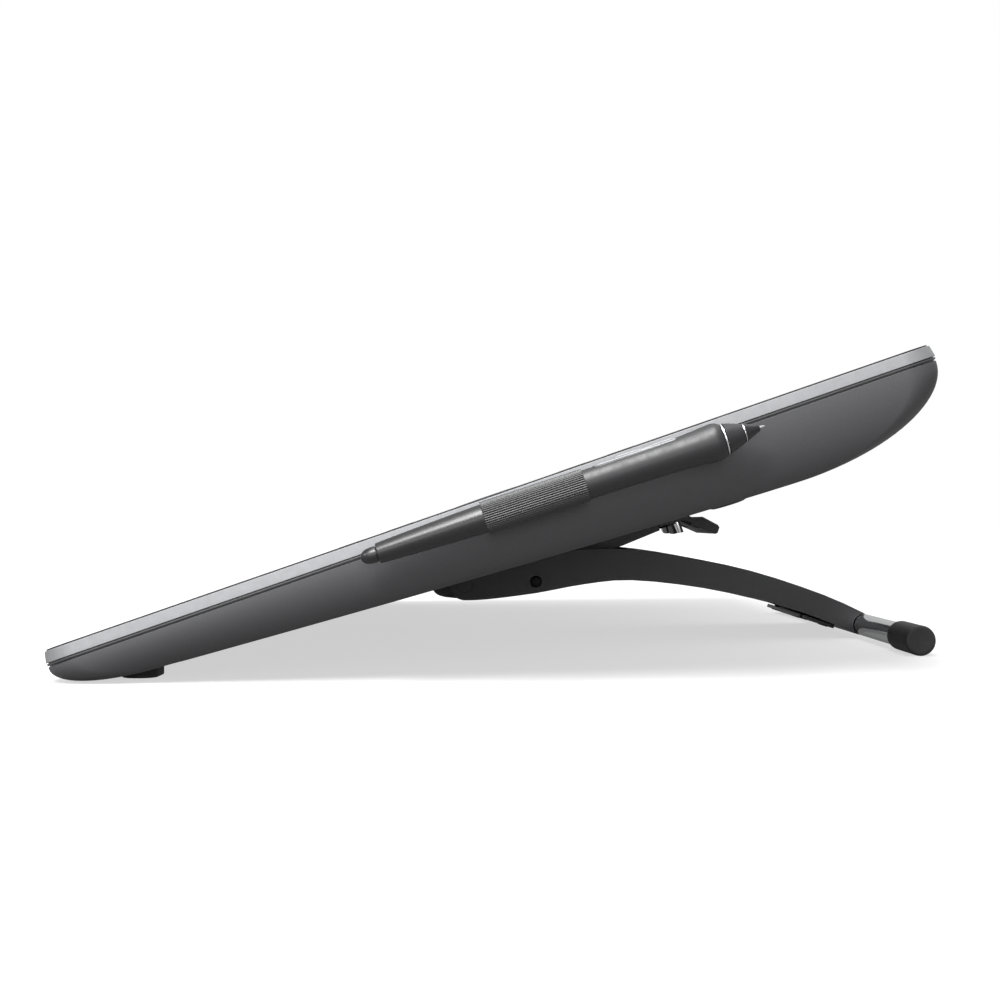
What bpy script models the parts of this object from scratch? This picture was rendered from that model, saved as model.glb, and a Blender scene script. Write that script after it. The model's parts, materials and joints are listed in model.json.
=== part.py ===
"""Pen display tablet on an arched folding stand, with its pen held in a loop on the right side.

Lengths are in millimetres and angles in degrees; meshes are scaled to metres as they are made.
The tablet's own pieces are modelled in a tilted frame: X to the right, Y up the glass from the
front edge, Z out of the glass. Depth below the glass is called n, so n = -Z in that frame.
"""
import math

import bmesh
import bpy
from mathutils import Euler, Matrix, Vector

MM = 0.001
GAP = 0.3
RING_STEPS = 24
SMALL_STEPS = 12

# Where the tablet stands
CENTRE_X = -8.65
FRONT_Y = -192.28
FRONT_Z = 12.4
TILT = 19.1

# Glass face, frame and cover
HALF_X = 316.0
TOP_DEPTH = 368.5
DRAFT = 0.9
CORNER = 15.5
RIM_N = 0.6
GLASS_T = 1.1
STRIP_END_N = 5.2
LIP_START_N = 5.5
LIP_END_N = 6.4
COVER_N = 6.9
COLLAR = 0.7
COVER_WALL = 2.2
FRONT_ROLL = 47.0
REAR_ROLL = 59.1
SIDE_ROLL = 13.0
BELLY_FRONT_U = 45.0
BELLY_REAR_U = 310.0
BELLY_DEEP_N = 34.7
BELLY_RISE = 13.2
BELLY_POWER = 1.25
SCREEN_X = 546.0
SCREEN_Y = 316.0
MID_U = TOP_DEPTH / 2

# Keys and dials on the side panels
PANEL_INNER_X = 276.6
PANEL_OUTER_X = 314.2
KEY_X = 295.3
KEY_SIZE = (18.0, 12.0)
KEY_PITCH = 20.0
KEY_FIRST = 36.0
KEYS_PER_GROUP = 2
KEY_PROUD = 0.25
DIAL_R = 15.0
POWER_U = 334.0
POWER_R = 4.0
BOARD_N = 3.4

# Stand
MOUNT_U = 211.0
MOUNT_N = 30.9
MOUNT_SLOPE = 2.94
MOUNT_HALF = 49.5
PLATE_TOP_W = 0.4
PLATE_BOTTOM_W = 7.0
PIVOT_Y = -31.78
PIVOT_Z = 28.8
ARM_HALF = 65.0
CHEEK = 13.0
CHEEK_R = 8.3
SHAFT_R = 4.0
DRUM_R = 7.4
ROD_Y = 184.89
ROD_Z = 7.2
ROD_R = 5.9
CAP_R = 7.2
CAP_LENGTH = 37.0
ROD_HALF = 181.0
LEVER_V = 70.1
LEVER_W = 4.6
LEVER_HALF = 43.0

# Pen, measured along its axis from the tail
PEN_X = 326.0
PEN_TAIL_U = 131.9
PEN_TAIL_N = 6.9
PEN_SKEW = 0.889
LOOP_START = 49.1
LOOP_END = 91.5
LOOP_R = 6.4
BUTTON_START = 103.1
BUTTON_END = 127.1


def clear_scene():
    for item in list(bpy.data.objects):
        bpy.data.objects.remove(item, do_unlink=True)


def new_collection(name):
    collection = bpy.data.collections.new(name)
    bpy.context.scene.collection.children.link(collection)
    return collection


clear_scene()
PARTS = new_collection("pen_display_tablet")
CUTTERS = new_collection("cutters")


def make_material(name, color, roughness, metallic=0.0):
    material = bpy.data.materials.new(name)
    material.use_nodes = True
    shader = material.node_tree.nodes["Principled BSDF"]
    shader.inputs["Base Color"].default_value = (*color, 1.0)
    shader.inputs["Roughness"].default_value = roughness
    shader.inputs["Metallic"].default_value = metallic
    return material


GLASS = make_material("etched_glass", (0.012, 0.012, 0.014), 0.25)
SATIN_METAL = make_material("satin_grey_metal", (0.40, 0.40, 0.41), 0.38, 1.0)
DARK_PLASTIC = make_material("dark_plastic", (0.022, 0.022, 0.024), 0.55)
COVER_PLASTIC = make_material("grained_plastic", (0.035, 0.035, 0.037), 0.50)
KEY_PLASTIC = make_material("key_plastic", (0.028, 0.028, 0.030), 0.45)
STEEL = make_material("zinc_steel", (0.60, 0.60, 0.60), 0.35, 1.0)
CHROME = make_material("chrome", (0.80, 0.80, 0.81), 0.08, 1.0)
CAST_PAINT = make_material("painted_casting", (0.045, 0.045, 0.048), 0.50)
BLACK_PAINT = make_material("black_painted_steel", (0.012, 0.012, 0.013), 0.45)
RUBBER = make_material("black_rubber", (0.014, 0.014, 0.014), 0.75)
BOARD_GREEN = make_material("circuit_board", (0.02, 0.12, 0.05), 0.50)
PANEL_WHITE = make_material("light_guide", (0.75, 0.76, 0.78), 0.30)
PANEL_BLACK = make_material("lcd_glass", (0.01, 0.01, 0.012), 0.20)
WEBBING = make_material("elastic_webbing", (0.016, 0.016, 0.017), 0.85)
PEN_GLOSS = make_material("pen_gloss_plastic", (0.020, 0.020, 0.022), 0.22)
PEN_SATIN = make_material("pen_satin_rubber", (0.026, 0.026, 0.028), 0.45)
PEN_SILVER = make_material("pen_silver", (0.75, 0.75, 0.76), 0.18, 1.0)


def add_empty(name, parent=None, place=(0, 0, 0), turn_x=0.0):
    empty = bpy.data.objects.new(name, None)
    PARTS.objects.link(empty)
    empty.parent = parent
    empty.location = Vector(place) * MM
    empty.rotation_euler = Euler((math.radians(turn_x), 0.0, 0.0))
    return empty


def add_piece(name, shape, material, parent=None, place=(0, 0, 0), turn_x=0.0, cutter=False):
    """Make an object from a bmesh in millimetres; a cutter is hidden from the result."""
    bmesh.ops.scale(shape, vec=(MM, MM, MM), verts=shape.verts)
    mesh = bpy.data.meshes.new(name)
    shape.to_mesh(mesh)
    shape.free()
    item = bpy.data.objects.new(name, mesh)
    (CUTTERS if cutter else PARTS).objects.link(item)
    item.parent = parent
    item.location = Vector(place) * MM
    item.rotation_euler = Euler((math.radians(turn_x), 0.0, 0.0))
    if material:
        mesh.materials.append(material)
    if cutter:
        item.hide_render = True
        item.display_type = "WIRE"
    else:
        mesh.shade_smooth()
        mesh.set_sharp_from_angle(angle=math.radians(35))
    return item


def cut(item, cutter, operation="DIFFERENCE"):
    modifier = item.modifiers.new(cutter.name, "BOOLEAN")
    modifier.object = cutter
    modifier.operation = operation
    modifier.solver = "EXACT"


def cut_all(item, cutters):
    for cutter in cutters:
        cut(item, cutter)


def box_shape(low, high, corner=0.0, steps=4, side="both", edge=0.0):
    """A box from low to high, with its upright edges rounded and its rims chamfered."""
    low = Vector(low)
    high = Vector(high)
    shape = bmesh.new()
    bmesh.ops.create_cube(shape, size=1.0)
    bmesh.ops.scale(shape, vec=high - low, verts=shape.verts)
    bmesh.ops.translate(shape, vec=(high + low) / 2, verts=shape.verts)
    if corner:
        middle = (low.x + high.x) / 2
        upright = []
        for line in shape.edges:
            a, b = (vert.co for vert in line.verts)
            stands = abs(a.x - b.x) < 1e-4 and abs(a.y - b.y) < 1e-4
            wanted = side == "both" or (a.x > middle) == (side == "right")
            if stands and wanted:
                upright.append(line)
        bmesh.ops.bevel(shape, geom=upright, offset=corner, segments=steps, profile=0.5, affect="EDGES")
    if edge:
        rims = []
        for line in shape.edges:
            a, b = (vert.co for vert in line.verts)
            if abs(a.z - b.z) < 1e-4 and (abs(a.z - low.z) < 1e-4 or abs(a.z - high.z) < 1e-4):
                rims.append(line)
        bmesh.ops.bevel(shape, geom=rims, offset=edge, segments=1, profile=0.5, affect="EDGES")
    return shape


def join_shapes(shapes):
    """Collect separate closed shapes in one bmesh."""
    joined = bmesh.new()
    for shape in shapes:
        mesh = bpy.data.meshes.new("shape")
        shape.to_mesh(mesh)
        shape.free()
        joined.from_mesh(mesh)
        bpy.data.meshes.remove(mesh)
    return joined


def turned_shape(profile, steps=RING_STEPS, centre=(0, 0, 0), matrix=None):
    """Turn a profile of (radius, z) points round Z. It ends on the axis, or closes as a ring."""
    shape = bmesh.new()
    verts = [shape.verts.new((radius, 0.0, z)) for radius, z in profile]
    lines = [shape.edges.new(pair) for pair in zip(verts, verts[1:])]
    if profile[0][0] > 0 and profile[-1][0] > 0:
        lines.append(shape.edges.new((verts[-1], verts[0])))
    bmesh.ops.spin(
        shape, geom=verts + lines, axis=(0, 0, 1), cent=(0, 0, 0), angle=math.tau, steps=steps,
        use_merge=True, use_duplicate=False,
    )
    bmesh.ops.remove_doubles(shape, verts=shape.verts, dist=1e-4)
    bmesh.ops.recalc_face_normals(shape, faces=shape.faces)
    if matrix:
        bmesh.ops.transform(shape, matrix=matrix, verts=shape.verts)
    bmesh.ops.translate(shape, vec=centre, verts=shape.verts)
    return shape


ALONG_X = Matrix.Rotation(math.radians(90), 4, "Y")


def rod_shape(radius, low_x, high_x, y=0.0, z=0.0, steps=RING_STEPS):
    """A plain cylinder along X."""
    profile = [(0, high_x), (radius, high_x), (radius, low_x), (0, low_x)]
    return turned_shape(profile, steps, (0, y, z), ALONG_X)


def outline_shape(points, low_x, high_x):
    """Extrude a closed (y, z) outline along X, through a flat filled curve."""
    curve = bpy.data.curves.new("outline", "CURVE")
    curve.dimensions = "2D"
    curve.fill_mode = "BOTH"
    curve.extrude = (high_x - low_x) / 2
    spline = curve.splines.new("POLY")
    spline.points.add(len(points) - 1)
    for point, (y, z) in zip(spline.points, points):
        point.co = (y, z, 0.0, 1.0)
    spline.use_cyclic_u = True
    item = bpy.data.objects.new("outline", curve)
    bpy.context.scene.collection.objects.link(item)
    bpy.context.view_layer.update()
    mesh = bpy.data.meshes.new_from_object(item.evaluated_get(bpy.context.evaluated_depsgraph_get()))
    bpy.data.objects.remove(item, do_unlink=True)
    bpy.data.curves.remove(curve)
    shape = bmesh.new()
    shape.from_mesh(mesh)
    bpy.data.meshes.remove(mesh)
    bmesh.ops.remove_doubles(shape, verts=shape.verts, dist=1e-3)
    to_side = Matrix(((0, 0, 1, 0), (1, 0, 0, 0), (0, 1, 0, 0), (0, 0, 0, 1)))
    bmesh.ops.transform(shape, matrix=to_side, verts=shape.verts)
    bmesh.ops.translate(shape, vec=((high_x + low_x) / 2, 0, 0), verts=shape.verts)
    bmesh.ops.recalc_face_normals(shape, faces=shape.faces)
    return shape


def smooth_line(points, steps):
    """A Catmull-Rom line through the points, with steps parts to each span."""
    line = []
    last = len(points) - 1
    for index in range(last):
        before = Vector(points[max(index - 1, 0)])
        start = Vector(points[index])
        end = Vector(points[index + 1])
        after = Vector(points[min(index + 2, last)])
        for step in range(steps):
            t = step / steps
            bend = start * 2 + (end - before) * t
            bend += (before * 2 - start * 5 + end * 4 - after) * t * t
            bend += (start * 3 - before - end * 3 + after) * t * t * t
            line.append(tuple(bend / 2))
    line.append(tuple(points[last]))
    return line


def arc_line(centre, radius, start, end, steps):
    """Points on an arc in the (y, z) plane, from start to end degrees."""
    line = []
    for step in range(steps + 1):
        angle = math.radians(start + (end - start) * step / steps)
        line.append((centre[0] + radius * math.cos(angle), centre[1] + radius * math.sin(angle)))
    return line


# Frames that the pieces hang on

TABLET = add_empty("tablet_frame", None, (CENTRE_X, FRONT_Y, FRONT_Z), TILT)
MOUNT = add_empty("mount_frame", TABLET, (0, MOUNT_U, -MOUNT_N), -MOUNT_SLOPE)
LEVER_AXIS = add_empty("lever_axis", MOUNT, (0, LEVER_V, -LEVER_W))
ARM_AXIS = add_empty("arm_axis", None, (CENTRE_X, PIVOT_Y, PIVOT_Z))
PEN_AXIS = add_empty("pen_axis", TABLET, (PEN_X, PEN_TAIL_U, -PEN_TAIL_N), -90 - PEN_SKEW)


# Glass face, frame and display stack

def make_cover_glass():
    low = (-PANEL_INNER_X + GAP, DRAFT, -GLASS_T)
    high = (PANEL_INNER_X - GAP, TOP_DEPTH - DRAFT, 0)
    add_piece("cover_glass", box_shape(low, high, edge=0.2), GLASS, TABLET)


def make_front_frame():
    low = (-HALF_X, -DRAFT, -STRIP_END_N)
    high = (HALF_X, TOP_DEPTH + DRAFT, -RIM_N)
    shape = box_shape(low, high, CORNER, 6)
    for vert in shape.verts:
        if vert.co.z > -1:
            vert.co.x *= 1 - DRAFT / HALF_X
            vert.co.y = MID_U + (vert.co.y - MID_U) * (1 - 2 * DRAFT / (TOP_DEPTH + 2 * DRAFT))
    frame = add_piece("front_frame", shape, SATIN_METAL, TABLET)
    seat = PANEL_OUTER_X + GAP
    rabbet = box_shape((-seat, DRAFT - GAP, -GLASS_T - GAP), (seat, TOP_DEPTH - DRAFT + GAP, 2), CORNER - 1.5, 6)
    screen = box_shape(
        (-SCREEN_X / 2, MID_U - SCREEN_Y / 2, -8), (SCREEN_X / 2, MID_U + SCREEN_Y / 2, 2), 3, 2)
    cutters = [
        add_piece("rabbet_cutter", rabbet, None, TABLET, cutter=True),
        add_piece("screen_cutter", screen, None, TABLET, cutter=True),
    ]
    for side, name in ((1, "right"), (-1, "left")):
        edges = sorted((side * 278.5, side * 312.2))
        pocket = box_shape((edges[0], 22, -8), (edges[1], 346, -1.2), 3, 2)
        cutters.append(add_piece("pocket_cutter_" + name, pocket, None, TABLET, cutter=True))
    cut_all(frame, cutters)


def key_places():
    """Distances up the glass of the keys, in a group each side of the dial."""
    places = []
    for index in range(KEYS_PER_GROUP):
        offset = KEY_FIRST + KEY_PITCH * index
        places += [MID_U - offset, MID_U + offset]
    return sorted(places)


def make_key_panels():
    for side, name in ((1, "right"), (-1, "left")):
        edges = sorted((side * PANEL_INNER_X, side * PANEL_OUTER_X))
        low = (edges[0], DRAFT, -GLASS_T)
        high = (edges[1], TOP_DEPTH - DRAFT, 0)
        panel = add_piece("key_panel_" + name, box_shape(low, high, CORNER - 1.8, 6, name), DARK_PLASTIC, TABLET)
        holes = []
        half_x = KEY_SIZE[0] / 2 + GAP
        half_y = KEY_SIZE[1] / 2 + GAP
        for place in key_places():
            corner_low = (side * KEY_X - half_x, place - half_y, -3)
            corner_high = (side * KEY_X + half_x, place + half_y, 3)
            holes.append(box_shape(corner_low, corner_high, 2.3, 2))
        ring = [(0, 3), (DIAL_R + GAP, 3), (DIAL_R + GAP, -3), (0, -3)]
        holes.append(turned_shape(ring, RING_STEPS, (side * KEY_X, MID_U, 0)))
        if side > 0:
            ring = [(0, 3), (POWER_R + GAP, 3), (POWER_R + GAP, -3), (0, -3)]
            holes.append(turned_shape(ring, SMALL_STEPS, (KEY_X, POWER_U, 0)))
        cut(panel, add_piece("key_holes_" + name, join_shapes(holes), None, TABLET, cutter=True))


def make_keys():
    """Each key is a cap that stands through the panel, with a flange that keeps it in."""
    half_x, half_y = KEY_SIZE[0] / 2, KEY_SIZE[1] / 2
    for side, name in ((1, "right"), (-1, "left")):
        for number, place in enumerate(key_places(), 1):
            cap = box_shape((-half_x, -half_y, -1.9), (half_x, half_y, KEY_PROUD), 2, 2, edge=0.15)
            flange = box_shape((-half_x - 1, -half_y - 1, -2.3), (half_x + 1, half_y + 1, -1.5), 1.5, 1)
            node = "key_" + name + "_" + str(number)
            key = add_piece(node, cap, KEY_PLASTIC, TABLET, (side * KEY_X, place, 0))
            foot = add_piece("flange_" + node, flange, None, key, cutter=True)
            cut(key, foot, "UNION")


def make_dials():
    profile = [
        (0, -0.55), (3.6, -0.55), (4.4, -0.1), (10.5, -0.1), (12.0, KEY_PROUD), (14.5, KEY_PROUD),
        (DIAL_R, -0.1), (DIAL_R, -1.5), (DIAL_R + 1.4, -1.5), (DIAL_R + 1.4, -2.3), (4.0, -2.3),
        (4.0, -3.0), (0, -3.0),
    ]
    for side, name in ((1, "right"), (-1, "left")):
        shape = turned_shape(profile, RING_STEPS)
        add_piece("dial_" + name, shape, KEY_PLASTIC, TABLET, (side * KEY_X, MID_U, 0))


def make_power_button():
    profile = [
        (0, KEY_PROUD - 0.15), (2.6, KEY_PROUD - 0.15), (3.4, KEY_PROUD), (POWER_R, 0), (POWER_R, -1.5),
        (POWER_R + 1, -1.5), (POWER_R + 1, -2.3), (0, -2.3),
    ]
    add_piece("power_button", turned_shape(profile, SMALL_STEPS), KEY_PLASTIC, TABLET, (KEY_X, POWER_U, 0))


def make_display_stack():
    """Panel, light guide and pen sensor board, each a thin plate behind the glass."""
    layers = (
        ("lcd_panel", 266, 150, 1.4, 3.0, PANEL_BLACK),
        ("light_guide", 266, 150, 3.3, 5.6, PANEL_WHITE),
        ("sensor_board", 268, 152, 5.9, 7.1, BOARD_GREEN),
    )
    for name, half_x, half_y, top_n, bottom_n, material in layers:
        low = (-half_x, MID_U - half_y, -bottom_n)
        high = (half_x, MID_U + half_y, -top_n)
        add_piece(name, box_shape(low, high, 1.5, 1), material, TABLET)


def make_key_boards():
    """One switch board behind each key panel."""
    for side, name in ((1, "right"), (-1, "left")):
        edges = sorted((side * 280.0, side * 308.0))
        board = box_shape((edges[0], 24, -BOARD_N - 1.4), (edges[1], 344, -BOARD_N), 2, 1)
        add_piece("key_board_" + name, board, BOARD_GREEN, TABLET)


def make_chassis():
    """The dark lip under the metal strip, with a tongue that locates the rear cover."""
    low = (-HALF_X + 0.2, -DRAFT + 0.2, -LIP_END_N)
    high = (HALF_X - 0.2, TOP_DEPTH + DRAFT - 0.2, -LIP_START_N)
    chassis = add_piece("chassis", box_shape(low, high, CORNER - 0.2, 6), DARK_PLASTIC, TABLET)
    tongue = box_shape((-311.6, 5.0, -8.4), (311.6, TOP_DEPTH - 5.0, -LIP_START_N - 0.4), 13, 4)
    opening = box_shape((-309, 7, -12), (309, TOP_DEPTH - 7, 0), 8, 3)
    cut(chassis, add_piece("tongue_adder", tongue, None, TABLET, cutter=True), "UNION")
    cut(chassis, add_piece("chassis_opening", opening, None, TABLET, cutter=True))


# Rear cover

def belly_n(u):
    """Depth of the belly of the cover below the glass, at a distance u up the glass."""
    u = min(max(u, BELLY_FRONT_U), BELLY_REAR_U)
    reach = (BELLY_REAR_U - u) / (BELLY_REAR_U - BELLY_FRONT_U)
    return BELLY_DEEP_N - BELLY_RISE * reach ** BELLY_POWER


def cover_outline():
    """Right half of the cover's plan, from the front round to the rear, as (x, u) points."""
    low_u, high_u = -DRAFT + 0.3, TOP_DEPTH + DRAFT - 0.3
    edge_x = HALF_X - 0.3
    line = []
    for step in range(6):
        angle = math.radians(-90 + 18 * step)
        line.append((edge_x - CORNER + CORNER * math.cos(angle), low_u + CORNER + CORNER * math.sin(angle)))
    spans = 8
    straight = high_u - low_u - 2 * CORNER
    for step in range(1, spans):
        line.append((edge_x, low_u + CORNER + straight * step / spans))
    for step in range(6):
        angle = math.radians(18 * step)
        line.append((edge_x - CORNER + CORNER * math.cos(angle), high_u - CORNER + CORNER * math.sin(angle)))
    return line


def cover_surface(grow, rings=8, closed=False):
    """The cover as rings: a short straight collar, then a roll to the belly. It is open at the top unless closed."""
    outline = cover_outline()
    low_u, high_u = outline[0][1], outline[-1][1]
    start_n = COVER_N + COLLAR
    shape = bmesh.new()
    rows = []
    for ring in range(rings + 1):
        theta = math.pi / 2 * ring / rings
        inward = 1 - math.cos(theta)
        near_u = low_u + FRONT_ROLL * inward - grow * math.cos(theta)
        far_u = high_u - REAR_ROLL * inward + grow * math.cos(theta)
        narrow = (HALF_X - SIDE_ROLL * inward + grow * math.cos(theta)) / HALF_X
        row = []
        for x, u in outline:
            place = near_u + (u - low_u) / (high_u - low_u) * (far_u - near_u)
            depth = start_n + (belly_n(place) - start_n + grow) * math.sin(theta)
            row.append((x * narrow, place, -depth))
        rows.append(row)
    rows.insert(0, [(x, u, -COVER_N) for x, u, _ in rows[0]])
    right = [[shape.verts.new(point) for point in row] for row in rows]
    left = [[shape.verts.new((-x, y, z)) for x, y, z in row] for row in rows]
    count = len(outline)
    for upper, lower in zip(range(rings + 1), range(1, rings + 2)):
        loop_a = right[upper] + left[upper][::-1]
        loop_b = right[lower] + left[lower][::-1]
        for index in range(2 * count):
            after = (index + 1) % (2 * count)
            shape.faces.new((loop_a[index], loop_a[after], loop_b[after], loop_b[index]))
    for index in range(count - 1):
        shape.faces.new((right[-1][index], right[-1][index + 1], left[-1][index + 1], left[-1][index]))
    lid = shape.faces.new(right[0] + left[0][::-1])
    bmesh.ops.recalc_face_normals(shape, faces=shape.faces)
    if not closed:
        bmesh.ops.delete(shape, geom=[lid], context="FACES_ONLY")
    return shape


BAY = ((-186.0, 321.0), (-82.0, 343.0))


def make_back_cover():
    cover = add_piece("back_cover", cover_surface(0.0), COVER_PLASTIC, TABLET)
    wall = cover.modifiers.new("wall", "SOLIDIFY")
    wall.thickness = COVER_WALL * MM
    wall.offset = -1
    wall.use_even_offset = True
    (bay_x0, bay_u0), (bay_x1, bay_u1) = BAY
    window = box_shape((bay_x0 - GAP, bay_u0 - GAP, -45), (bay_x1 + GAP, bay_u1 + GAP, -12))
    cut(cover, add_piece("bay_window", window, None, TABLET, cutter=True))
    slot = box_shape((305, PEN_TAIL_U + LOOP_START - 0.5, -9.3), (320, PEN_TAIL_U + LOOP_END - 0.5, -7.3))
    cut(cover, add_piece("loop_slot", slot, None, TABLET, cutter=True))
    cut(cover, add_piece("vent_slots", vent_shapes(), None, TABLET, cutter=True))
    cut(cover, add_piece("cover_screw_holes", cover_screw_shapes(2.0, -4, 6), None, TABLET, cutter=True))
    cut(cover, add_piece("mount_screw_holes", mount_screw_shapes(2.3, -6, 3), None, MOUNT, cutter=True))


def vent_shapes():
    """A row of slots through the belly on each side of the stand."""
    shapes = []
    for side in (1, -1):
        for index in range(9):
            x = side * (120 + 9 * index)
            shapes.append(box_shape((x - 1.5, 268, -45), (x + 1.5, 292, -20)))
    return join_shapes(shapes)


COVER_SCREWS = [(x, u) for u in (70.0, 300.0) for x in (-285.0, -95.0, 95.0, 285.0)]


def cover_screw_shapes(radius, above, below, steps=8):
    """Upright cylinders through the belly wall, for the holes of the cover's screws."""
    shapes = []
    for x, u in COVER_SCREWS:
        depth = belly_n(u)
        profile = [(0, -depth - above), (radius, -depth - above), (radius, -depth - below), (0, -depth - below)]
        shapes.append(turned_shape(profile, steps, (x, u, 0)))
    return join_shapes(shapes)


def make_port_bay():
    """A tray let into the rear roll of the cover, open downwards, that holds the sockets."""
    (x0, u0), (x1, u1) = BAY
    tray = add_piece("port_bay", box_shape((x0, u0, -40), (x1, u1, -14)), DARK_PLASTIC, TABLET)
    inside = box_shape((x0 + 2, u0 + 2, -50), (x1 - 2, u1 - 2, -16))
    cut(tray, add_piece("bay_inside", inside, None, TABLET, cutter=True))
    limit = add_piece("bay_limit", cover_surface(-0.4, closed=True), None, TABLET, cutter=True)
    cut(tray, limit, "INTERSECT")


def make_port_sockets():
    """Power, two video and one small data socket, shells with tongues, on their common board."""
    (x0, u0), (_, u1) = BAY
    mid_u = (u0 + u1) / 2
    top, mouth = -17.0, -22.5
    board = box_shape((x0 + 3, u0 + 3, -18), (x0 + 101, u1 - 3, -16.3))
    node = add_piece("port_sockets", board, STEEL, TABLET)
    sockets = [turned_shape([(0, top), (4.6, top), (4.6, mouth), (0, mouth)], SMALL_STEPS, (x0 + 14, mid_u, 0))]
    ring = [(1.0, mouth - 1), (3.5, mouth - 1), (3.5, top - 1.4), (1.0, top - 1.4)]
    holes = [turned_shape(ring[::-1], SMALL_STEPS, (x0 + 14, mid_u, 0))]
    for offset, half_x, half_y in ((36, 7.8, 3.1), (62, 7.8, 3.1), (86, 4.9, 2.4)):
        x = x0 + offset
        sockets.append(box_shape((x - half_x, mid_u - half_y, mouth), (x + half_x, mid_u + half_y, top), 0.8, 1))
        inner_x, inner_y = half_x - 0.6, half_y - 0.6
        for low_u, high_u in ((-inner_y, -0.5), (0.5, inner_y)):
            low = (x - inner_x, mid_u + low_u, mouth - 2)
            high = (x + inner_x, mid_u + high_u, top - 1.4)
            holes.append(box_shape(low, high))
    cut(node, add_piece("socket_shells", join_shapes(sockets), None, TABLET, cutter=True), "UNION")
    cut(node, add_piece("socket_mouths", join_shapes(holes), None, TABLET, cutter=True))


def make_main_board():
    """Main circuit board with its chips and a shield can."""
    board = add_piece("main_board", box_shape((-75, 215, -14.6), (125, 315, -13), 3, 1), BOARD_GREEN, TABLET)
    chips = [
        box_shape((-40, 240, -17), (-15, 265, -14), edge=0.3),
        box_shape((10, 235, -18), (60, 275, -14), edge=0.5),
        box_shape((80, 240, -16), (110, 250, -14)),
        box_shape((-60, 285, -19), (-20, 300, -14)),
    ]
    cut(board, add_piece("board_chips", join_shapes(chips), None, TABLET, cutter=True), "UNION")


def make_front_feet():
    """Two rubber pads under the low edge, cut to the cover and flat on the table."""
    follower = add_piece("foot_seat", cover_surface(GAP, closed=True), None, TABLET, cutter=True)
    for side, name in ((1, "right"), (-1, "left")):
        x = CENTRE_X + side * 276
        low = (x - 12, FRONT_Y + 28.6, 0)
        high = (x + 12, FRONT_Y + 43.4, 6)
        cut(add_piece("front_foot_" + name, box_shape(low, high, 5, 3), RUBBER), follower)


def make_rear_feet():
    """Two round bumpers on the belly, near the rear corners."""
    profile = [(0, -1.7), (6.5, -1.7), (8.4, -1.2), (9.0, -GAP), (0, -GAP)]
    for side, name in ((1, "right"), (-1, "left")):
        place = (side * 262, 279, -belly_n(279) - 0.1)
        add_piece("rear_foot_" + name, turned_shape(profile[::-1], 16), RUBBER, TABLET, place, -1.6)


# Pen loop

def make_pen_loop():
    """An elastic collar round the pen, on a flat tab that goes in through the cover's side."""
    ring = [
        (LOOP_R, LOOP_END), (LOOP_R, LOOP_START), (LOOP_R - 0.45, LOOP_START), (LOOP_R - 0.45, LOOP_END),
    ]
    loop = add_piece("pen_loop", turned_shape(ring, RING_STEPS), WEBBING, PEN_AXIS)
    reach = PEN_X - 312.6
    tab = box_shape((-reach, -0.3, LOOP_START + 1), (-LOOP_R + 0.25, 0.9, LOOP_END - 1))
    cut(loop, add_piece("loop_tab", tab, None, PEN_AXIS, cutter=True), "UNION")


def make_loop_anchor():
    """The bar inside the cover that the loop's tab is clamped to."""
    low = (309.4, PEN_TAIL_U + LOOP_START + 1, -11.8)
    high = (312.2, PEN_TAIL_U + LOOP_END - 3, -9.9)
    add_piece("loop_anchor", box_shape(low, high), STEEL, TABLET)


# Stand base, lock and lever

MOUNT_SCREWS = [(x, v) for x in (-37.5, 37.5) for v in (-37.5, 37.5)]


def mount_screw_shapes(radius, top_w, low_w, steps=8):
    """Cylinders at the four mounting screws, from one depth below the mounting plane to another."""
    shapes = []
    for x, v in MOUNT_SCREWS:
        profile = [(0, -top_w), (radius, -top_w), (radius, -low_w), (0, -low_w)]
        shapes.append(turned_shape(profile, steps, (x, v, 0)))
    return join_shapes(shapes)


def make_mount_plate():
    """Steel plate against the belly, with two ears for the lever's pin and a turned-down flange."""
    plate = box_shape((-MOUNT_HALF, -42, -PLATE_BOTTOM_W), (MOUNT_HALF, 63, -PLATE_TOP_W), 5, 2)
    node = add_piece("mount_plate", plate, STEEL, MOUNT)
    extra = [box_shape((-30, 60, -15.2), (-5.5, 68.6, -2.4)), box_shape((5.5, 60, -15.2), (30, 68.6, -2.4))]
    for side in (1, -1):
        edges = sorted((side * 44.0, side * 48.0))
        extra.append(box_shape((edges[0], 58.2, -8.6), (edges[1], 74.5, -PLATE_TOP_W - 0.4)))
    cut(node, add_piece("plate_flange", join_shapes(extra), None, MOUNT, cutter=True), "UNION")
    clear = [
        box_shape((-31, 50, -20), (-5.0, 66.6, -PLATE_BOTTOM_W - 0.05)),
        box_shape((5.0, 50, -20), (31, 66.6, -PLATE_BOTTOM_W - 0.05)),
        rod_shape(1.8, -60, 60, LEVER_V, -LEVER_W, SMALL_STEPS),
    ]
    cut(node, add_piece("flange_relief", join_shapes(clear), None, MOUNT, cutter=True))
    cut(node, add_piece("plate_screw_holes", mount_screw_shapes(2.3, -2, 12), None, MOUNT, cutter=True))


def make_mount_screws():
    """Screws from below, through the base and the plate into the cover."""
    profile = [(0, 4.5), (1.9, 4.5), (1.9, -9.9), (3.4, -9.9), (3.4, -11.8), (0, -11.8)]
    for number, (x, v) in enumerate(MOUNT_SCREWS, 1):
        add_piece("mount_screw_" + str(number), turned_shape(profile, 10), BLACK_PAINT, MOUNT, (x, v, 0))


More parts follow.
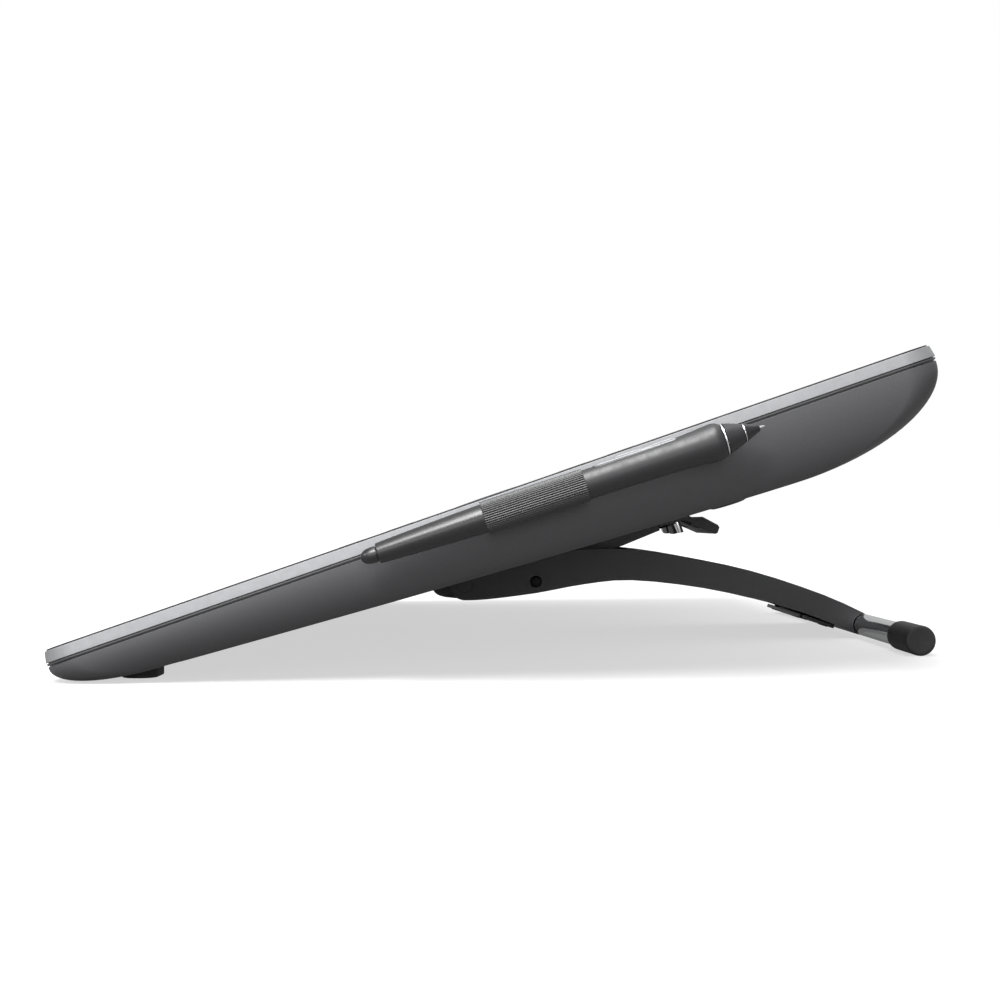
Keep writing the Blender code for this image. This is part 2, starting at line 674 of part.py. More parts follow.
def make_stand_base():
    """Dark block under the plate: nose and hinge lugs in front, a tail that thins to the rear."""
    nose = smooth_line([(-72.4, -3.0), (-71.7, -7.3), (-70.3, -10.0), (-66.2, -12.8), (-56.0, -16.7)], 2)
    outline = [(57.6, -PLATE_BOTTOM_W - GAP), (-43.2, -PLATE_BOTTOM_W - GAP), (-43.2, -0.9), (-72.4, -0.9)]
    outline += nose
    outline += [(-50.0, -17.4), (-42.0, -14.6), (-20.0, -14.2), (35.5, -12.7), (57.6, -10.3)]
    base = add_piece("stand_base", outline_shape(outline, -MOUNT_HALF, MOUNT_HALF), CAST_PAINT, MOUNT)
    cutters = (
        add_piece("drum_room", box_shape((-13.0, -95, -30), (13.0, -38.2, 3)), None, MOUNT, cutter=True),
        add_piece("rod_tunnel", box_shape((-2.4, -45, -11.6), (2.4, 70, 3)), None, MOUNT, cutter=True),
        add_piece("base_screw_holes", mount_screw_shapes(2.3, 2, 12), None, MOUNT, cutter=True),
        add_piece("screw_wells", mount_screw_shapes(4.0, 9.6, 22), None, MOUNT, cutter=True),
        add_piece("base_bore", rod_shape(SHAFT_R + GAP, -70, 70), None, ARM_AXIS, cutter=True),
    )
    cut_all(base, cutters)


def make_hinge_shaft():
    """Shaft across both cheeks, with the brake drum turned on its middle."""
    profile = [
        (0, 64.4), (SHAFT_R, 64.4), (SHAFT_R, 12), (DRUM_R, 12), (DRUM_R, -12), (SHAFT_R, -12),
        (SHAFT_R, -64.4), (0, -64.4),
    ]
    add_piece("hinge_shaft", turned_shape(profile, RING_STEPS, matrix=ALONG_X), STEEL, ARM_AXIS)


def make_release_link():
    """Brake shoe behind the drum, on the rod that the lever pulls."""
    shoe = add_piece("brake_shoe", box_shape((-11, -52, -13.5), (11, -40.5, -7.4)), RUBBER, MOUNT)
    drum = rod_shape(DRUM_R + GAP, -20, 20)
    cut(shoe, add_piece("shoe_seat", drum, None, ARM_AXIS, cutter=True))
    axis = Matrix.Rotation(math.radians(-90), 4, "X")
    profile = [(0, 73.0), (1.4, 73.0), (1.4, -40.2), (0, -40.2)]
    add_piece("pull_rod", turned_shape(profile, SMALL_STEPS, (0, 0, -9.7), axis), BLACK_PAINT, MOUNT)


def make_release_lever():
    """Paddle under the rear edge, on two knuckles round its pin."""
    blade = [(3.9, -3.9), (13.0, -5.2), (20.0, -12.0), (20.4, -13.6), (18.6, -16.2), (17.3, -16.4), (3.4, -5.0)]
    lever = add_piece("release_lever", outline_shape(blade, -LEVER_HALF, LEVER_HALF), DARK_PLASTIC, LEVER_AXIS)
    knuckle = [(6.0, -6.6), (8.0, -5.0)] + arc_line((0, 0), 3.3, 55, 270, 7)
    knuckles = [outline_shape(knuckle, low, low + 9) for low in (-LEVER_HALF - 0.2, LEVER_HALF - 8.8)]
    cut(lever, add_piece("lever_knuckles", join_shapes(knuckles), None, LEVER_AXIS, cutter=True), "UNION")
    bore = rod_shape(1.8, -60, 60, steps=SMALL_STEPS)
    cut(lever, add_piece("lever_bore", bore, None, LEVER_AXIS, cutter=True))


def make_lever_pin():
    add_piece("lever_pin", rod_shape(1.5, -48.5, 48.5, steps=SMALL_STEPS), STEEL, LEVER_AXIS)


def make_lever_spring():
    """Torsion spring round the pin at its middle, one leg against the paddle."""
    curve = bpy.data.curves.new("spring_wire", "CURVE")
    curve.dimensions = "3D"
    curve.bevel_depth = 0.4
    curve.bevel_resolution = 1
    curve.use_fill_caps = True
    turns, steps, radius, pitch = 3, 10, 2.3, 1.15
    points = []
    for step in range(turns * steps + 1):
        angle = math.tau * step / steps
        x = -pitch * turns / 2 + pitch * step / steps
        points.append((x, radius * math.cos(angle), radius * math.sin(angle)))
    points.append((pitch * turns / 2 + 0.2, 2.6, -2.4))
    spline = curve.splines.new("POLY")
    spline.points.add(len(points) - 1)
    for point, place in zip(spline.points, points):
        point.co = (*place, 1.0)
    item = bpy.data.objects.new("spring_wire", curve)
    bpy.context.scene.collection.objects.link(item)
    bpy.context.view_layer.update()
    mesh = bpy.data.meshes.new_from_object(item.evaluated_get(bpy.context.evaluated_depsgraph_get()))
    bpy.data.objects.remove(item, do_unlink=True)
    shape = bmesh.new()
    shape.from_mesh(mesh)
    bmesh.ops.remove_doubles(shape, verts=shape.verts, dist=1e-3)
    bmesh.ops.recalc_face_normals(shape, faces=shape.faces)
    add_piece("lever_spring", shape, STEEL, LEVER_AXIS)


# Arched arm and foot

def arm_outline():
    """Side profile of the arm about the hinge axis, as (y, z) points."""
    top = smooth_line([(-3, 8.0), (19, 11.3), (39, 15.6), (61, 19.0), (84, 19.5), (116, 15.9), (155, 7.8),
                       (194.6, -5.3), (220.6, -17.2)], 3)
    bottom = smooth_line([(213.7, -27.0), (192.7, -18.3), (168.4, -10.4), (129.5, -1.7), (90.5, 2.6), (64.5, 0.4),
                          (38.5, -4.4), (12.5, -7.7), (0, -CHEEK_R)], 3)
    nose = arc_line((0, 0), CHEEK_R, 260, 130, 8)
    return top + bottom + nose


def make_stand_arm():
    arm = add_piece("stand_arm", outline_shape(arm_outline(), -ARM_HALF, ARM_HALF), CAST_PAINT, ARM_AXIS)
    inner = ARM_HALF - CHEEK
    channel = [(-20, -20), (14, -20), (14, -3.6), (40, 0.6), (62, 4.6), (88, 8), (92, 12), (92, 40), (-20, 40)]
    pocket = [(99, 14.3), (116, 12.0), (133, 8.8), (150, 5.2), (150, -20), (99, -20)]
    cutters = (
        add_piece("arm_channel", outline_shape(channel, -inner, inner), None, ARM_AXIS, cutter=True),
        add_piece("arm_pocket", outline_shape(pocket, -ARM_HALF + 6, ARM_HALF - 6), None, ARM_AXIS, cutter=True),
        add_piece("arm_bore", rod_shape(SHAFT_R + 0.15, -80, 80), None, ARM_AXIS, cutter=True),
        add_piece("rod_saddle", rod_shape(ROD_R + GAP, -80, 80, ROD_Y - PIVOT_Y, ROD_Z - PIVOT_Z), None, ARM_AXIS,
                  cutter=True),
        add_piece("side_screw_holes", join_shapes([side_screw_shape(1, GAP), side_screw_shape(-1, GAP)]), None,
                  ARM_AXIS, cutter=True),
        add_piece("clamp_screw_holes", clamp_screw_shapes(1.8, 5.5, -4), None, CLAMP_AXIS, cutter=True),
    )
    cut_all(arm, cutters)


SIDE_SCREW = (38.5, 1.9)


def side_screw_shape(side, grow):
    """A countersunk screw body in one side face of the arm, grown to make its hole."""
    head, shank, length = 2.95 + grow, 1.5 + grow, 8.0 + grow
    rim = 5.0 if grow else -0.3
    profile = [(0, rim), (head, rim), (head, -0.9), (shank, -2.6), (shank, -length), (0, -length)]
    turn = Matrix.Rotation(math.radians(90 * side), 4, "Y")
    return turned_shape(profile, 16, (side * ARM_HALF, *SIDE_SCREW), turn)


def make_side_screws():
    """Cross-head screws in the arm's side faces."""
    for side, name in ((1, "right"), (-1, "left")):
        screw = add_piece("arm_side_screw_" + name, side_screw_shape(side, 0.0), STEEL, ARM_AXIS)
        x = side * ARM_HALF
        for number, (half_y, half_z) in enumerate(((1.9, 0.35), (0.35, 1.9))):
            low = (x - 1.2, SIDE_SCREW[0] - half_y, SIDE_SCREW[1] - half_z)
            high = (x + 1.2, SIDE_SCREW[0] + half_y, SIDE_SCREW[1] + half_z)
            slot = "driver_slot_" + name + "_" + str(number)
            cut(screw, add_piece(slot, box_shape(low, high), None, ARM_AXIS, cutter=True))


CLAMP_AXIS = add_empty("clamp_axis", ARM_AXIS, (0, 192.4, -18.9), -18.6)


def clamp_screw_shapes(radius, above, below, steps=8):
    shapes = []
    for x in (-42.0, 42.0):
        for y in (-5.0, 7.0):
            profile = [(0, above), (radius, above), (radius, below), (0, below)]
            shapes.append(turned_shape(profile, steps, (x, y, 0)))
    return join_shapes(shapes)


def make_rod_clamp():
    """Plate under the arm's rear end that holds the foot rod up in its saddle."""
    clamp = add_piece("rod_clamp", box_shape((-56, -9, -2.0), (56, 11, 0), 3, 2), STEEL, CLAMP_AXIS)
    cut(clamp, add_piece("clamp_holes", clamp_screw_shapes(1.8, 3, -5), None, CLAMP_AXIS, cutter=True))


def make_foot_rod():
    half = ROD_HALF - 6
    place = (0, ROD_Y - PIVOT_Y, ROD_Z - PIVOT_Z)
    profile = [(0, half), (ROD_R - 0.5, half), (ROD_R, half - 0.5), (ROD_R, -half + 0.5), (ROD_R - 0.5, -half), (0, -half)]
    add_piece("foot_rod", turned_shape(profile, 32, place, ALONG_X), CHROME, ARM_AXIS)


def make_foot_caps():
    """Rubber cups on the ends of the rod, which carry the stand on the table."""
    start = ROD_HALF - CAP_LENGTH
    bore = ROD_R + GAP
    for side, name in ((1, "right"), (-1, "left")):
        profile = [
            (0, ROD_HALF), (CAP_R - 0.8, ROD_HALF), (CAP_R, ROD_HALF - 0.8), (CAP_R, start + 0.5),
            (CAP_R - 0.5, start), (bore, start), (bore, ROD_HALF - 5), (0, ROD_HALF - 5),
        ]
        turn = Matrix.Rotation(math.radians(90 * side), 4, "Y")
        place = (0, ROD_Y - PIVOT_Y, ROD_Z - PIVOT_Z)
        add_piece("foot_cap_" + name, turned_shape(profile, 32, place, turn), RUBBER, ARM_AXIS)


# Pen

def make_pen_shells():
    """Tail and barrel, two hollow turned shells that meet inside the loop."""
    tail = [(3.0, 6.5), (3.95, 7.0), (4.9, 28.0), (5.6, 50.0), (5.65, 69.8)]
    bore = [(4.2, 69.8), (4.2, 50.0), (2.5, 14.0), (2.5, 6.5)]
    add_piece("pen_tail", turned_shape(tail + bore), PEN_GLOSS, PEN_AXIS)
    barrel = [
        (5.65, 70.1), (5.75, 92.0), (5.9, 103.0), (6.05, 118.0), (6.5, 130.0), (7.05, 137.0), (7.3, 140.6),
        (7.15, 142.4), (6.3, 144.2),
    ]
    barrel_bore = [(4.4, 144.2), (4.4, 70.1)]
    node = add_piece("pen_barrel", turned_shape(barrel + barrel_bore), PEN_SATIN, PEN_AXIS)
    window = box_shape((-2.3, -12, BUTTON_START - GAP), (2.3, -2, BUTTON_END + GAP))
    cut(node, add_piece("button_window", window, None, PEN_AXIS, cutter=True))


def make_pen_tail_cap():
    profile = [(0, 0), (1.2, 0.2), (2.3, 1.0), (2.9, 2.4), (3.1, 4.2), (3.1, 6.2), (2.1, 6.2), (2.1, 12.0), (0, 12.0)]
    add_piece("pen_tail_cap", turned_shape(profile, 20), PEN_GLOSS, PEN_AXIS)


def make_pen_nose():
    """Silver ring, grip cone, and small ring at the writing end."""
    ring = [(6.15, 144.5), (6.15, 145.2), (3.4, 145.2), (3.4, 144.5)]
    add_piece("pen_ring", turned_shape(ring), PEN_SILVER, PEN_AXIS)
    cone = [(6.0, 145.5), (3.65, 152.4), (2.0, 152.4), (2.0, 145.5)]
    add_piece("pen_cone", turned_shape(cone, 20), PEN_SATIN, PEN_AXIS)
    tip = [
        (3.5, 152.7), (3.45, 153.2), (3.3, 153.3), (1.1, 158.9), (0.95, 158.9), (0.95, 152.7),
    ]
    add_piece("pen_tip", turned_shape(tip, 20), PEN_SATIN, PEN_AXIS)


def make_pen_nib():
    profile = [(0, 161.1), (0.35, 160.9), (0.6, 160.2), (0.65, 136.0), (0, 136.0)]
    add_piece("pen_nib", turned_shape(profile, SMALL_STEPS), PEN_GLOSS, PEN_AXIS)


def make_pen_button():
    """Rocking side button, proud of the barrel on its upper side."""
    mid = (BUTTON_START + BUTTON_END) / 2
    half = (BUTTON_END - BUTTON_START) / 2
    body = box_shape((-2.0, -6.9, -half), (2.0, -4.7, half), edge=0.25)
    add_piece("pen_button", body, KEY_PLASTIC, PEN_AXIS, (0, 0, mid))


def make_pen_inside():
    """Circuit board and pressure sensor inside the barrel."""
    board = box_shape((-3.4, -1.0, 74), (3.4, -0.2, 128))
    chips = [box_shape((-1.5, -2.2, 106), (1.5, -0.6, 109)), box_shape((-1.5, -2.2, 121), (1.5, -0.6, 124)),
             box_shape((-2.5, -2.0, 84), (2.5, -0.6, 92))]
    node = add_piece("pen_board", board, BOARD_GREEN, PEN_AXIS)
    cut(node, add_piece("pen_chips", join_shapes(chips), None, PEN_AXIS, cutter=True), "UNION")
    sensor = [(0, 135.0), (3.6, 135.0), (3.6, 129.5), (0, 129.5)]
    add_piece("pen_sensor", turned_shape(sensor, SMALL_STEPS), STEEL, PEN_AXIS)


def main():
    make_cover_glass()
    make_front_frame()
    make_key_panels()
    make_keys()
    make_dials()
    make_power_button()
    make_display_stack()
    make_key_boards()
    make_chassis()
    make_back_cover()
    make_port_bay()
    make_port_sockets()
    make_main_board()
    make_front_feet()
    make_rear_feet()
    make_pen_loop()
    make_loop_anchor()
    make_mount_plate()
    make_mount_screws()
    make_stand_base()
    make_hinge_shaft()
    make_release_link()
    make_release_lever()
    make_lever_pin()
    make_lever_spring()
    make_stand_arm()
    make_side_screws()
    make_rod_clamp()
    make_foot_rod()
    make_foot_caps()
    make_pen_shells()
    make_pen_tail_cap()
    make_pen_nose()
    make_pen_nib()
    make_pen_button()
    make_pen_inside()


main()
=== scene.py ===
"""Pen display tablet on an arched folding stand, with its pen in an elastic loop: shapes, finishes, light.

Pieces are modelled in millimetres in the frame of what they belong to (tablet, mount, arm or pen),
and each is then set in its place in metres. In the tablet's frame X runs to the right, Y up the
glass from its front edge and Z out of the glass. In the pen's frame Z runs from tail to nib. In
names, u is a distance up the glass, n a depth below it, and a gap or inset is clear space.
"""
import json
import math

import bmesh
import bpy
from mathutils import Matrix, Vector


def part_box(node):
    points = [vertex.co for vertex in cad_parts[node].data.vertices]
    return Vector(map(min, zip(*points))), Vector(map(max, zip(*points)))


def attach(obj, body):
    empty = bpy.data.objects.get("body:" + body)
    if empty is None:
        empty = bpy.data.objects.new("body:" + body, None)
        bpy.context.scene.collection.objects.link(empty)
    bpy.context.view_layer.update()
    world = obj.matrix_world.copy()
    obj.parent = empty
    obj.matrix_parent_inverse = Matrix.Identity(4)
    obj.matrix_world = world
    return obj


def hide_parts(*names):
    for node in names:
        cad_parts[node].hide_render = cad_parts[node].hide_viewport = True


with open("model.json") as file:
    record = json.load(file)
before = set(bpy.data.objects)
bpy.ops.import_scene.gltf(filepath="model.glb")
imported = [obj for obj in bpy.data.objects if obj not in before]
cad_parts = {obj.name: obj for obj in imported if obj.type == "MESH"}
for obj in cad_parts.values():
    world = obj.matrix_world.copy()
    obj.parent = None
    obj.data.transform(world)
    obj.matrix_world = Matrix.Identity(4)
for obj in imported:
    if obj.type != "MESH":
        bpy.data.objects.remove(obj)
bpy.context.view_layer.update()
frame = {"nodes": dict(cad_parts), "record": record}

MM = 0.001
HERE = Matrix.Identity(4)
JOINTS = {joint["name"]: joint for joint in frame["record"]["behaviour"]["joints"]}

# Tablet body
HALF_X = 316.0
TOP_DEPTH = 368.5
MID_U = TOP_DEPTH / 2
DRAFT = 0.9
CORNER = 15.5
RIM_N = 0.6
STRIP_END_N = 5.2
LIP_START_N = 5.5
LIP_END_N = 6.4
COVER_N = 6.9
TONGUE_N = 8.6
TONGUE_INSET = 3.3
STEP_INSET = 0.95
STEP_GAP = 0.06
INNER_INSET = 7.0
GLASS_HALF_X = 276.3
GLASS_T = 1.1
ACTIVE_HALF = (264.0, 148.5)
COVER_WALL = 2.2
COLLAR = 0.7
FRONT_ROLL = 47.0
REAR_ROLL = 59.1
SIDE_ROLL = 13.0
BELLY_FRONT_U = 45.0
BELLY_REAR_U = 310.0
BELLY_DEEP_N = 34.7
BELLY_RISE = 13.2
BELLY_POWER = 1.25
BAY = ((-186.0, 321.0), (-82.0, 343.0))
COVER_SCREWS = [(x, u) for u in (70.0, 300.0) for x in (-285.0, -95.0, 95.0, 285.0)]
VENT_U = (268.0, 292.0)
VENT_FIRST_X = 120
VENT_PITCH = 9
VENT_COUNT = 9
VENT_HALF = 1.5
SOCKETS = ((36, 6.6), (62, 6.6), (86, 3.7))
BUMPER_X = 262
BUMPER_U = 279
BUMPER_TILT = -0.028
PAD_FORWARD = 2.6
PAD_SHORTER = 2.9

# Side panels
PANEL_INNER_X = 276.6
PANEL_OUTER_X = 314.2
KEY_X = 295.3
KEY_SIZE = (18.0, 12.0)
KEY_OFFSETS = (-56.0, -36.0, 36.0, 56.0)
KEY_GAP = 0.3
DIAL_R = 15.0
POWER_U = 334.0
POWER_R = 4.0
LAMP_U = POWER_U - 11
MARK_R = 13.1
FLANGE = 1.0
FLANGE_Z = (-2.3, -1.5)

# Mount, stand and lever
PLATE_TRIM = (-49.2, -42.4)
PLATE_BACKING = (-49.5, -42.2)
RIB_X = (20, 34)
STOP_X = (36, 41.5)
CLAMP_SLOPE = math.radians(-18.6)
CLAMP_SCREWS = [(x, y) for x in (-42.0, 42.0) for y in (-6.0, 6.0)]
ARM_HALF = 65.0
SIDE_SCREW = (38.5, 1.9)
ROD_R = 5.9
CAP_R = 7.2
CAP_LENGTH = 37.0
ROD_HALF = 181.0

# Pen
BUTTON_START = 103.1
BUTTON_END = 127.1
BUTTON_UP = 5.5
LOOP_START = 49.1
LOOP_END = 89.6
LOOP_R = 6.4
LOOP_WALL = 0.45
LOOP_RIBS = 44
RIB_DEPTH = 0.3
PEN_X = 326.0
PEN_START_U = 131.9
LOOP_TAB_X = 312.6

# Studio: what the camera sees, what the object is lit by, and what its gloss shows
FLOOR_RADIUS = 40.0
FLOOR_SHADE = 0.34
FLOOR_GLOW = 0.6
FLOOR_BOUNCE = 0.14
GLOSS_FLOOR = 0.15
NEAR_FLOOR = 0.5
FAR_FLOOR = 1.6
SURROUND = 0.25
GLOSS_SURROUND = 0.3


def place_at(origin, turn, inward):
    """Matrix from a local frame in millimetres to metres; inward is where origin lies in that frame."""
    move = Matrix.Translation(Vector(origin))
    return move @ Matrix.Rotation(turn, 4, "X") @ Matrix.Scale(MM, 4) @ Matrix.Translation(-Vector(inward))


RIGHT_DIAL = Vector(JOINTS["right_dial_turn"]["pos_m"])
LEFT_DIAL = Vector(JOINTS["left_dial_turn"]["pos_m"])
NORMAL = JOINTS["right_dial_turn"]["axis"]
PIVOT = JOINTS["stand_hinge"]["pos_m"]
TABLET = place_at((RIGHT_DIAL + LEFT_DIAL) / 2, math.atan2(-NORMAL[1], NORMAL[2]), (0, MID_U, 0))
ARM = place_at(PIVOT, 0.0, (0, 0, 0))
PEN_AXIS = JOINTS["pen_slide"]["axis"]
PEN_TURN = math.atan2(PEN_AXIS[2], PEN_AXIS[1]) - math.pi / 2
BUTTON_MIDDLE = (BUTTON_START + BUTTON_END) / 2
PEN = place_at(JOINTS["side_button_rock"]["pos_m"], PEN_TURN, (0, -BUTTON_UP, BUTTON_MIDDLE))
WORLD = Matrix.Scale(MM, 4)


# Modelling

def deselect():
    if bpy.context.object and bpy.context.object.mode != "OBJECT":
        bpy.ops.object.mode_set(mode="OBJECT")
    bpy.ops.object.select_all(action="DESELECT")


def pick(piece):
    deselect()
    piece.select_set(True)
    bpy.context.view_layer.objects.active = piece


def loft(name, rings, filled=True):
    """A circle's rim drawn out ring by ring, with any open end filled."""
    deselect()
    bpy.ops.mesh.primitive_circle_add(vertices=len(rings[0]), radius=1)
    piece = bpy.context.object
    piece.name = name
    bpy.ops.object.mode_set(mode="EDIT")
    shape = bmesh.from_edit_mesh(piece.data)
    station = shape.verts.layers.int.new("station")
    for index, vert in enumerate(shape.verts):
        vert[station] = index
        vert.co = rings[0][index]
    for ring in rings[1:]:
        bmesh.update_edit_mesh(piece.data)
        bpy.ops.mesh.extrude_edges_move()
        shape = bmesh.from_edit_mesh(piece.data)
        station = shape.verts.layers.int["station"]
        for vert in shape.verts:
            if vert.select:
                vert.co = ring[vert[station]]
    bmesh.update_edit_mesh(piece.data)
    bpy.ops.mesh.select_all(action="SELECT")
    bpy.ops.mesh.remove_doubles(threshold=0.002)
    if filled:
        bpy.ops.mesh.select_all(action="SELECT")
        bpy.ops.mesh.fill_holes(sides=0)
    bpy.ops.mesh.select_all(action="SELECT")
    bpy.ops.mesh.normals_make_consistent(inside=False)
    bpy.ops.object.mode_set(mode="OBJECT")
    return piece


def circle(radius, z, steps, ripple=0.0, ripples=0):
    """Points round Z. A ripple takes up to that much off the radius, so many times round."""
    points = []
    for step in range(steps):
        angle = math.tau * step / steps
        reach = radius - ripple * (1 - abs(math.cos(ripples * angle / 2)))
        points.append((reach * math.cos(angle), reach * math.sin(angle), z))
    return points


def turned(name, profile, steps=64):
    """A profile of (radius, z) points turned round Z."""
    return loft(name, [circle(radius, z, steps) for radius, z in profile])


def tube(name, profile, steps=64):
    """A closed profile of (radius, z) points turned round Z, with a bore through it."""
    return turned(name, profile + profile[:1], steps)


def rounded(low, high, corner, steps=6):
    """A rectangle's outline from its front left corner, with its corners rounded."""
    centres = (
        (low[0] + corner, low[1] + corner, 180), (high[0] - corner, low[1] + corner, 270),
        (high[0] - corner, high[1] - corner, 0), (low[0] + corner, high[1] - corner, 90),
    )
    points = []
    for x, y, start in centres:
        for step in range(steps + 1):
            angle = math.radians(start + 90 * step / steps)
            points.append((x + corner * math.cos(angle), y + corner * math.sin(angle)))
    return points


def plate(name, low, high, corner, steps=6):
    """A flat piece from low to high, with its upright edges rounded."""
    outline = rounded(low, high, corner, steps)
    return loft(name, [[(x, y, z) for x, y in outline] for z in (low[2], high[2])])


def slab(name, outline, low_x, high_x):
    """A closed (y, z) outline drawn out along X."""
    return loft(name, [[(x, y, z) for y, z in outline] for x in (low_x, high_x)])


def apply_modifier(piece, kind, **settings):
    pick(piece)
    modifier = piece.modifiers.new(kind.lower(), kind)
    for key, value in settings.items():
        setattr(modifier, key, value)
    bpy.ops.object.modifier_apply(modifier=modifier.name)


def soften(piece, width, segments=3, angle=30):
    """Round the edges that are sharper than an angle."""
    apply_modifier(
        piece, "BEVEL", width=width, segments=segments, limit_method="ANGLE",
        angle_limit=math.radians(angle), harden_normals=False, use_clamp_overlap=True,
    )
    return piece


def carve(piece, cutter, operation="DIFFERENCE"):
    apply_modifier(piece, "BOOLEAN", object=cutter, operation=operation, solver="EXACT")
    bpy.data.objects.remove(cutter, do_unlink=True)
    return piece


def copy_of(piece, name, shift):
    """A copy with its own mesh, moved by shift."""
    twin = piece.copy()
    twin.data = piece.data.copy()
    twin.name = name
    bpy.context.collection.objects.link(twin)
    twin.data.transform(Matrix.Translation(Vector(shift)))
    return twin


def moved(piece, *steps):
    """Move a piece's mesh by the product of matrices, the last one first."""
    total = Matrix.Identity(4)
    for step in steps:
        total = total @ step
    piece.data.transform(total)
    return piece


def sideways(side):
    """Turn that points Z to the right, or to the left for a side of -1."""
    return Matrix.Rotation(math.radians(90 * side), 4, "Y")


def crossed(head, reach, half, low, high, corner=0.1):
    """Cut a cross-shaped drive into a screw's head."""
    for half_x, half_y in ((reach, half), (half, reach)):
        carve(head, plate("drive", (-half_x, -half_y, low), (half_x, half_y, high), corner, 1))
    return head


def joined(pieces):
    """Several pieces as one object."""
    deselect()
    for piece in pieces:
        piece.select_set(True)
    bpy.context.view_layer.objects.active = pieces[0]
    bpy.ops.object.join()
    return pieces[0]


def refined(node, name, width, segments=2, angle=35):
    """A copy of a CAD node with its triangles merged to flat faces and its edges rounded, in metres."""
    piece = frame["nodes"][node].copy()
    piece.data = frame["nodes"][node].data.copy()
    piece.name = name
    piece.parent = None
    piece.matrix_world = Matrix.Identity(4)
    for key in list(piece.keys()):
        if key.startswith("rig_"):
            del piece[key]
    bpy.context.collection.objects.link(piece)
    pick(piece)
    bpy.ops.object.mode_set(mode="EDIT")
    bpy.ops.mesh.select_all(action="SELECT")
    bpy.ops.mesh.remove_doubles(threshold=0.000002)
    bpy.ops.mesh.dissolve_limited(angle_limit=math.radians(0.5))
    bpy.ops.object.mode_set(mode="OBJECT")
    if width:
        soften(piece, width * MM, segments, angle)
    return piece


def settle(piece, place, material, body, stands_for=(), crease=32):
    """Put a finished piece in its place in metres, shade it, and hang it on its body."""
    piece.data.transform(place)
    pick(piece)
    piece.data.materials.clear()
    piece.data.materials.append(material)
    bpy.ops.object.shade_smooth_by_angle(angle=math.radians(crease))
    apply_modifier(piece, "WEIGHTED_NORMAL", keep_sharp=True)
    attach(piece, body)
    if stands_for:
        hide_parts(*stands_for)
    return piece


def coat(material, *nodes):
    """Give CAD nodes a finish."""
    for node in nodes:
        for face_slot in frame["nodes"][node].material_slots:
            face_slot.material = material


# Finishes

def linear(code):
    """An sRGB hex colour as linear values."""
    values = [int(code[index:index + 2], 16) / 255 for index in (1, 3, 5)]
    levels = [value / 12.92 if value <= 0.04045 else ((value + 0.055) / 1.055) ** 2.4 for value in values]
    return levels + [1.0]


def add(tree, kind, sockets=None, **settings):
    """Add a node with its settings, and fill its sockets with values or with other nodes' outputs."""
    node = tree.nodes.new(kind)
    for key, value in settings.items():
        setattr(node, key, value)
    for key, value in (sockets or {}).items():
        if isinstance(value, bpy.types.NodeSocket):
            tree.links.new(value, node.inputs[key])
        else:
            node.inputs[key].default_value = value
    return node


def finish_named(name, code, roughness, metallic=0.0, **more):
    """A new material with its shader's own values set."""
    material = bpy.data.materials.new(name)
    material.use_nodes = True
    tree = material.node_tree
    shader = tree.nodes["Principled BSDF"]
    shader.inputs["Base Color"].default_value = linear(code)
    shader.inputs["Roughness"].default_value = roughness
    shader.inputs["Metallic"].default_value = metallic
    for key, value in more.items():
        shader.inputs[key.replace("_", " ")].default_value = value
    return material, tree, shader


def grit(tree, size, stretch=(1, 1, 1), detail=3.0):
    """Noise with grains of a size in millimetres, longer along an axis whose stretch is above 1."""
    place = add(tree, "ShaderNodeTexCoord")
    scale = [1 / factor for factor in stretch]
    mapping = add(tree, "ShaderNodeMapping", {"Vector": place.outputs["Object"], "Scale": scale})
    sockets = {"Vector": mapping.outputs["Vector"], "Scale": 1 / (size * MM), "Detail": detail}
    noise = add(tree, "ShaderNodeTexNoise", sockets)
    noise.inputs["Roughness"].default_value = 0.55
    return noise.outputs["Fac"]


def spread(tree, value, low, high):
    """A value from 0 to 1 spread from low to high."""
    sockets = {"Value": value, "From Min": 0.3, "From Max": 0.7, "To Min": low, "To Max": high}
    return add(tree, "ShaderNodeMapRange", sockets).outputs["Result"]


def vary(tree, shader, value, dark, light):
    """Base colour between two hex colours, by a value."""
    ramp = add(tree, "ShaderNodeMix", {"Factor": spread(tree, value, 0.0, 1.0)}, data_type="RGBA")
    ramp.inputs["A"].default_value = linear(dark)
    ramp.inputs["B"].default_value = linear(light)
    tree.links.new(ramp.outputs["Result"], shader.inputs["Base Color"])


def raise_by(tree, shader, value, height):
    """Bump of a height in millimetres."""
    bump = add(tree, "ShaderNodeBump", {"Height": value, "Distance": height * MM, "Strength": 1.0})
    tree.links.new(bump.outputs["Normal"], shader.inputs["Normal"])


def make_etched_glass():
    """Acid-etched anti-glare glass with black ink behind: nearly black, with a soft broad sheen."""
    material, tree, shader = finish_named("etched_aluminosilicate_glass", "#0B0B0D", 0.3, IOR=1.51)
    etch = grit(tree, 0.35, detail=2.0)
    tree.links.new(spread(tree, etch, 0.26, 0.34), shader.inputs["Roughness"])
    vary(tree, shader, grit(tree, 60, detail=1.0), "#0A0A0C", "#0D0D0F")
    raise_by(tree, shader, etch, 0.004)
    return material


def make_active_area():
    """The switched-off panel seen through the glass: a shade bluer and glossier than its border."""
    material, tree, shader = finish_named("switched_off_panel_glass", "#0E1013", 0.24, IOR=1.51)
    etch = grit(tree, 0.35, detail=2.0)
    tree.links.new(spread(tree, etch, 0.21, 0.28), shader.inputs["Roughness"])
    raise_by(tree, shader, etch, 0.004)
    return material


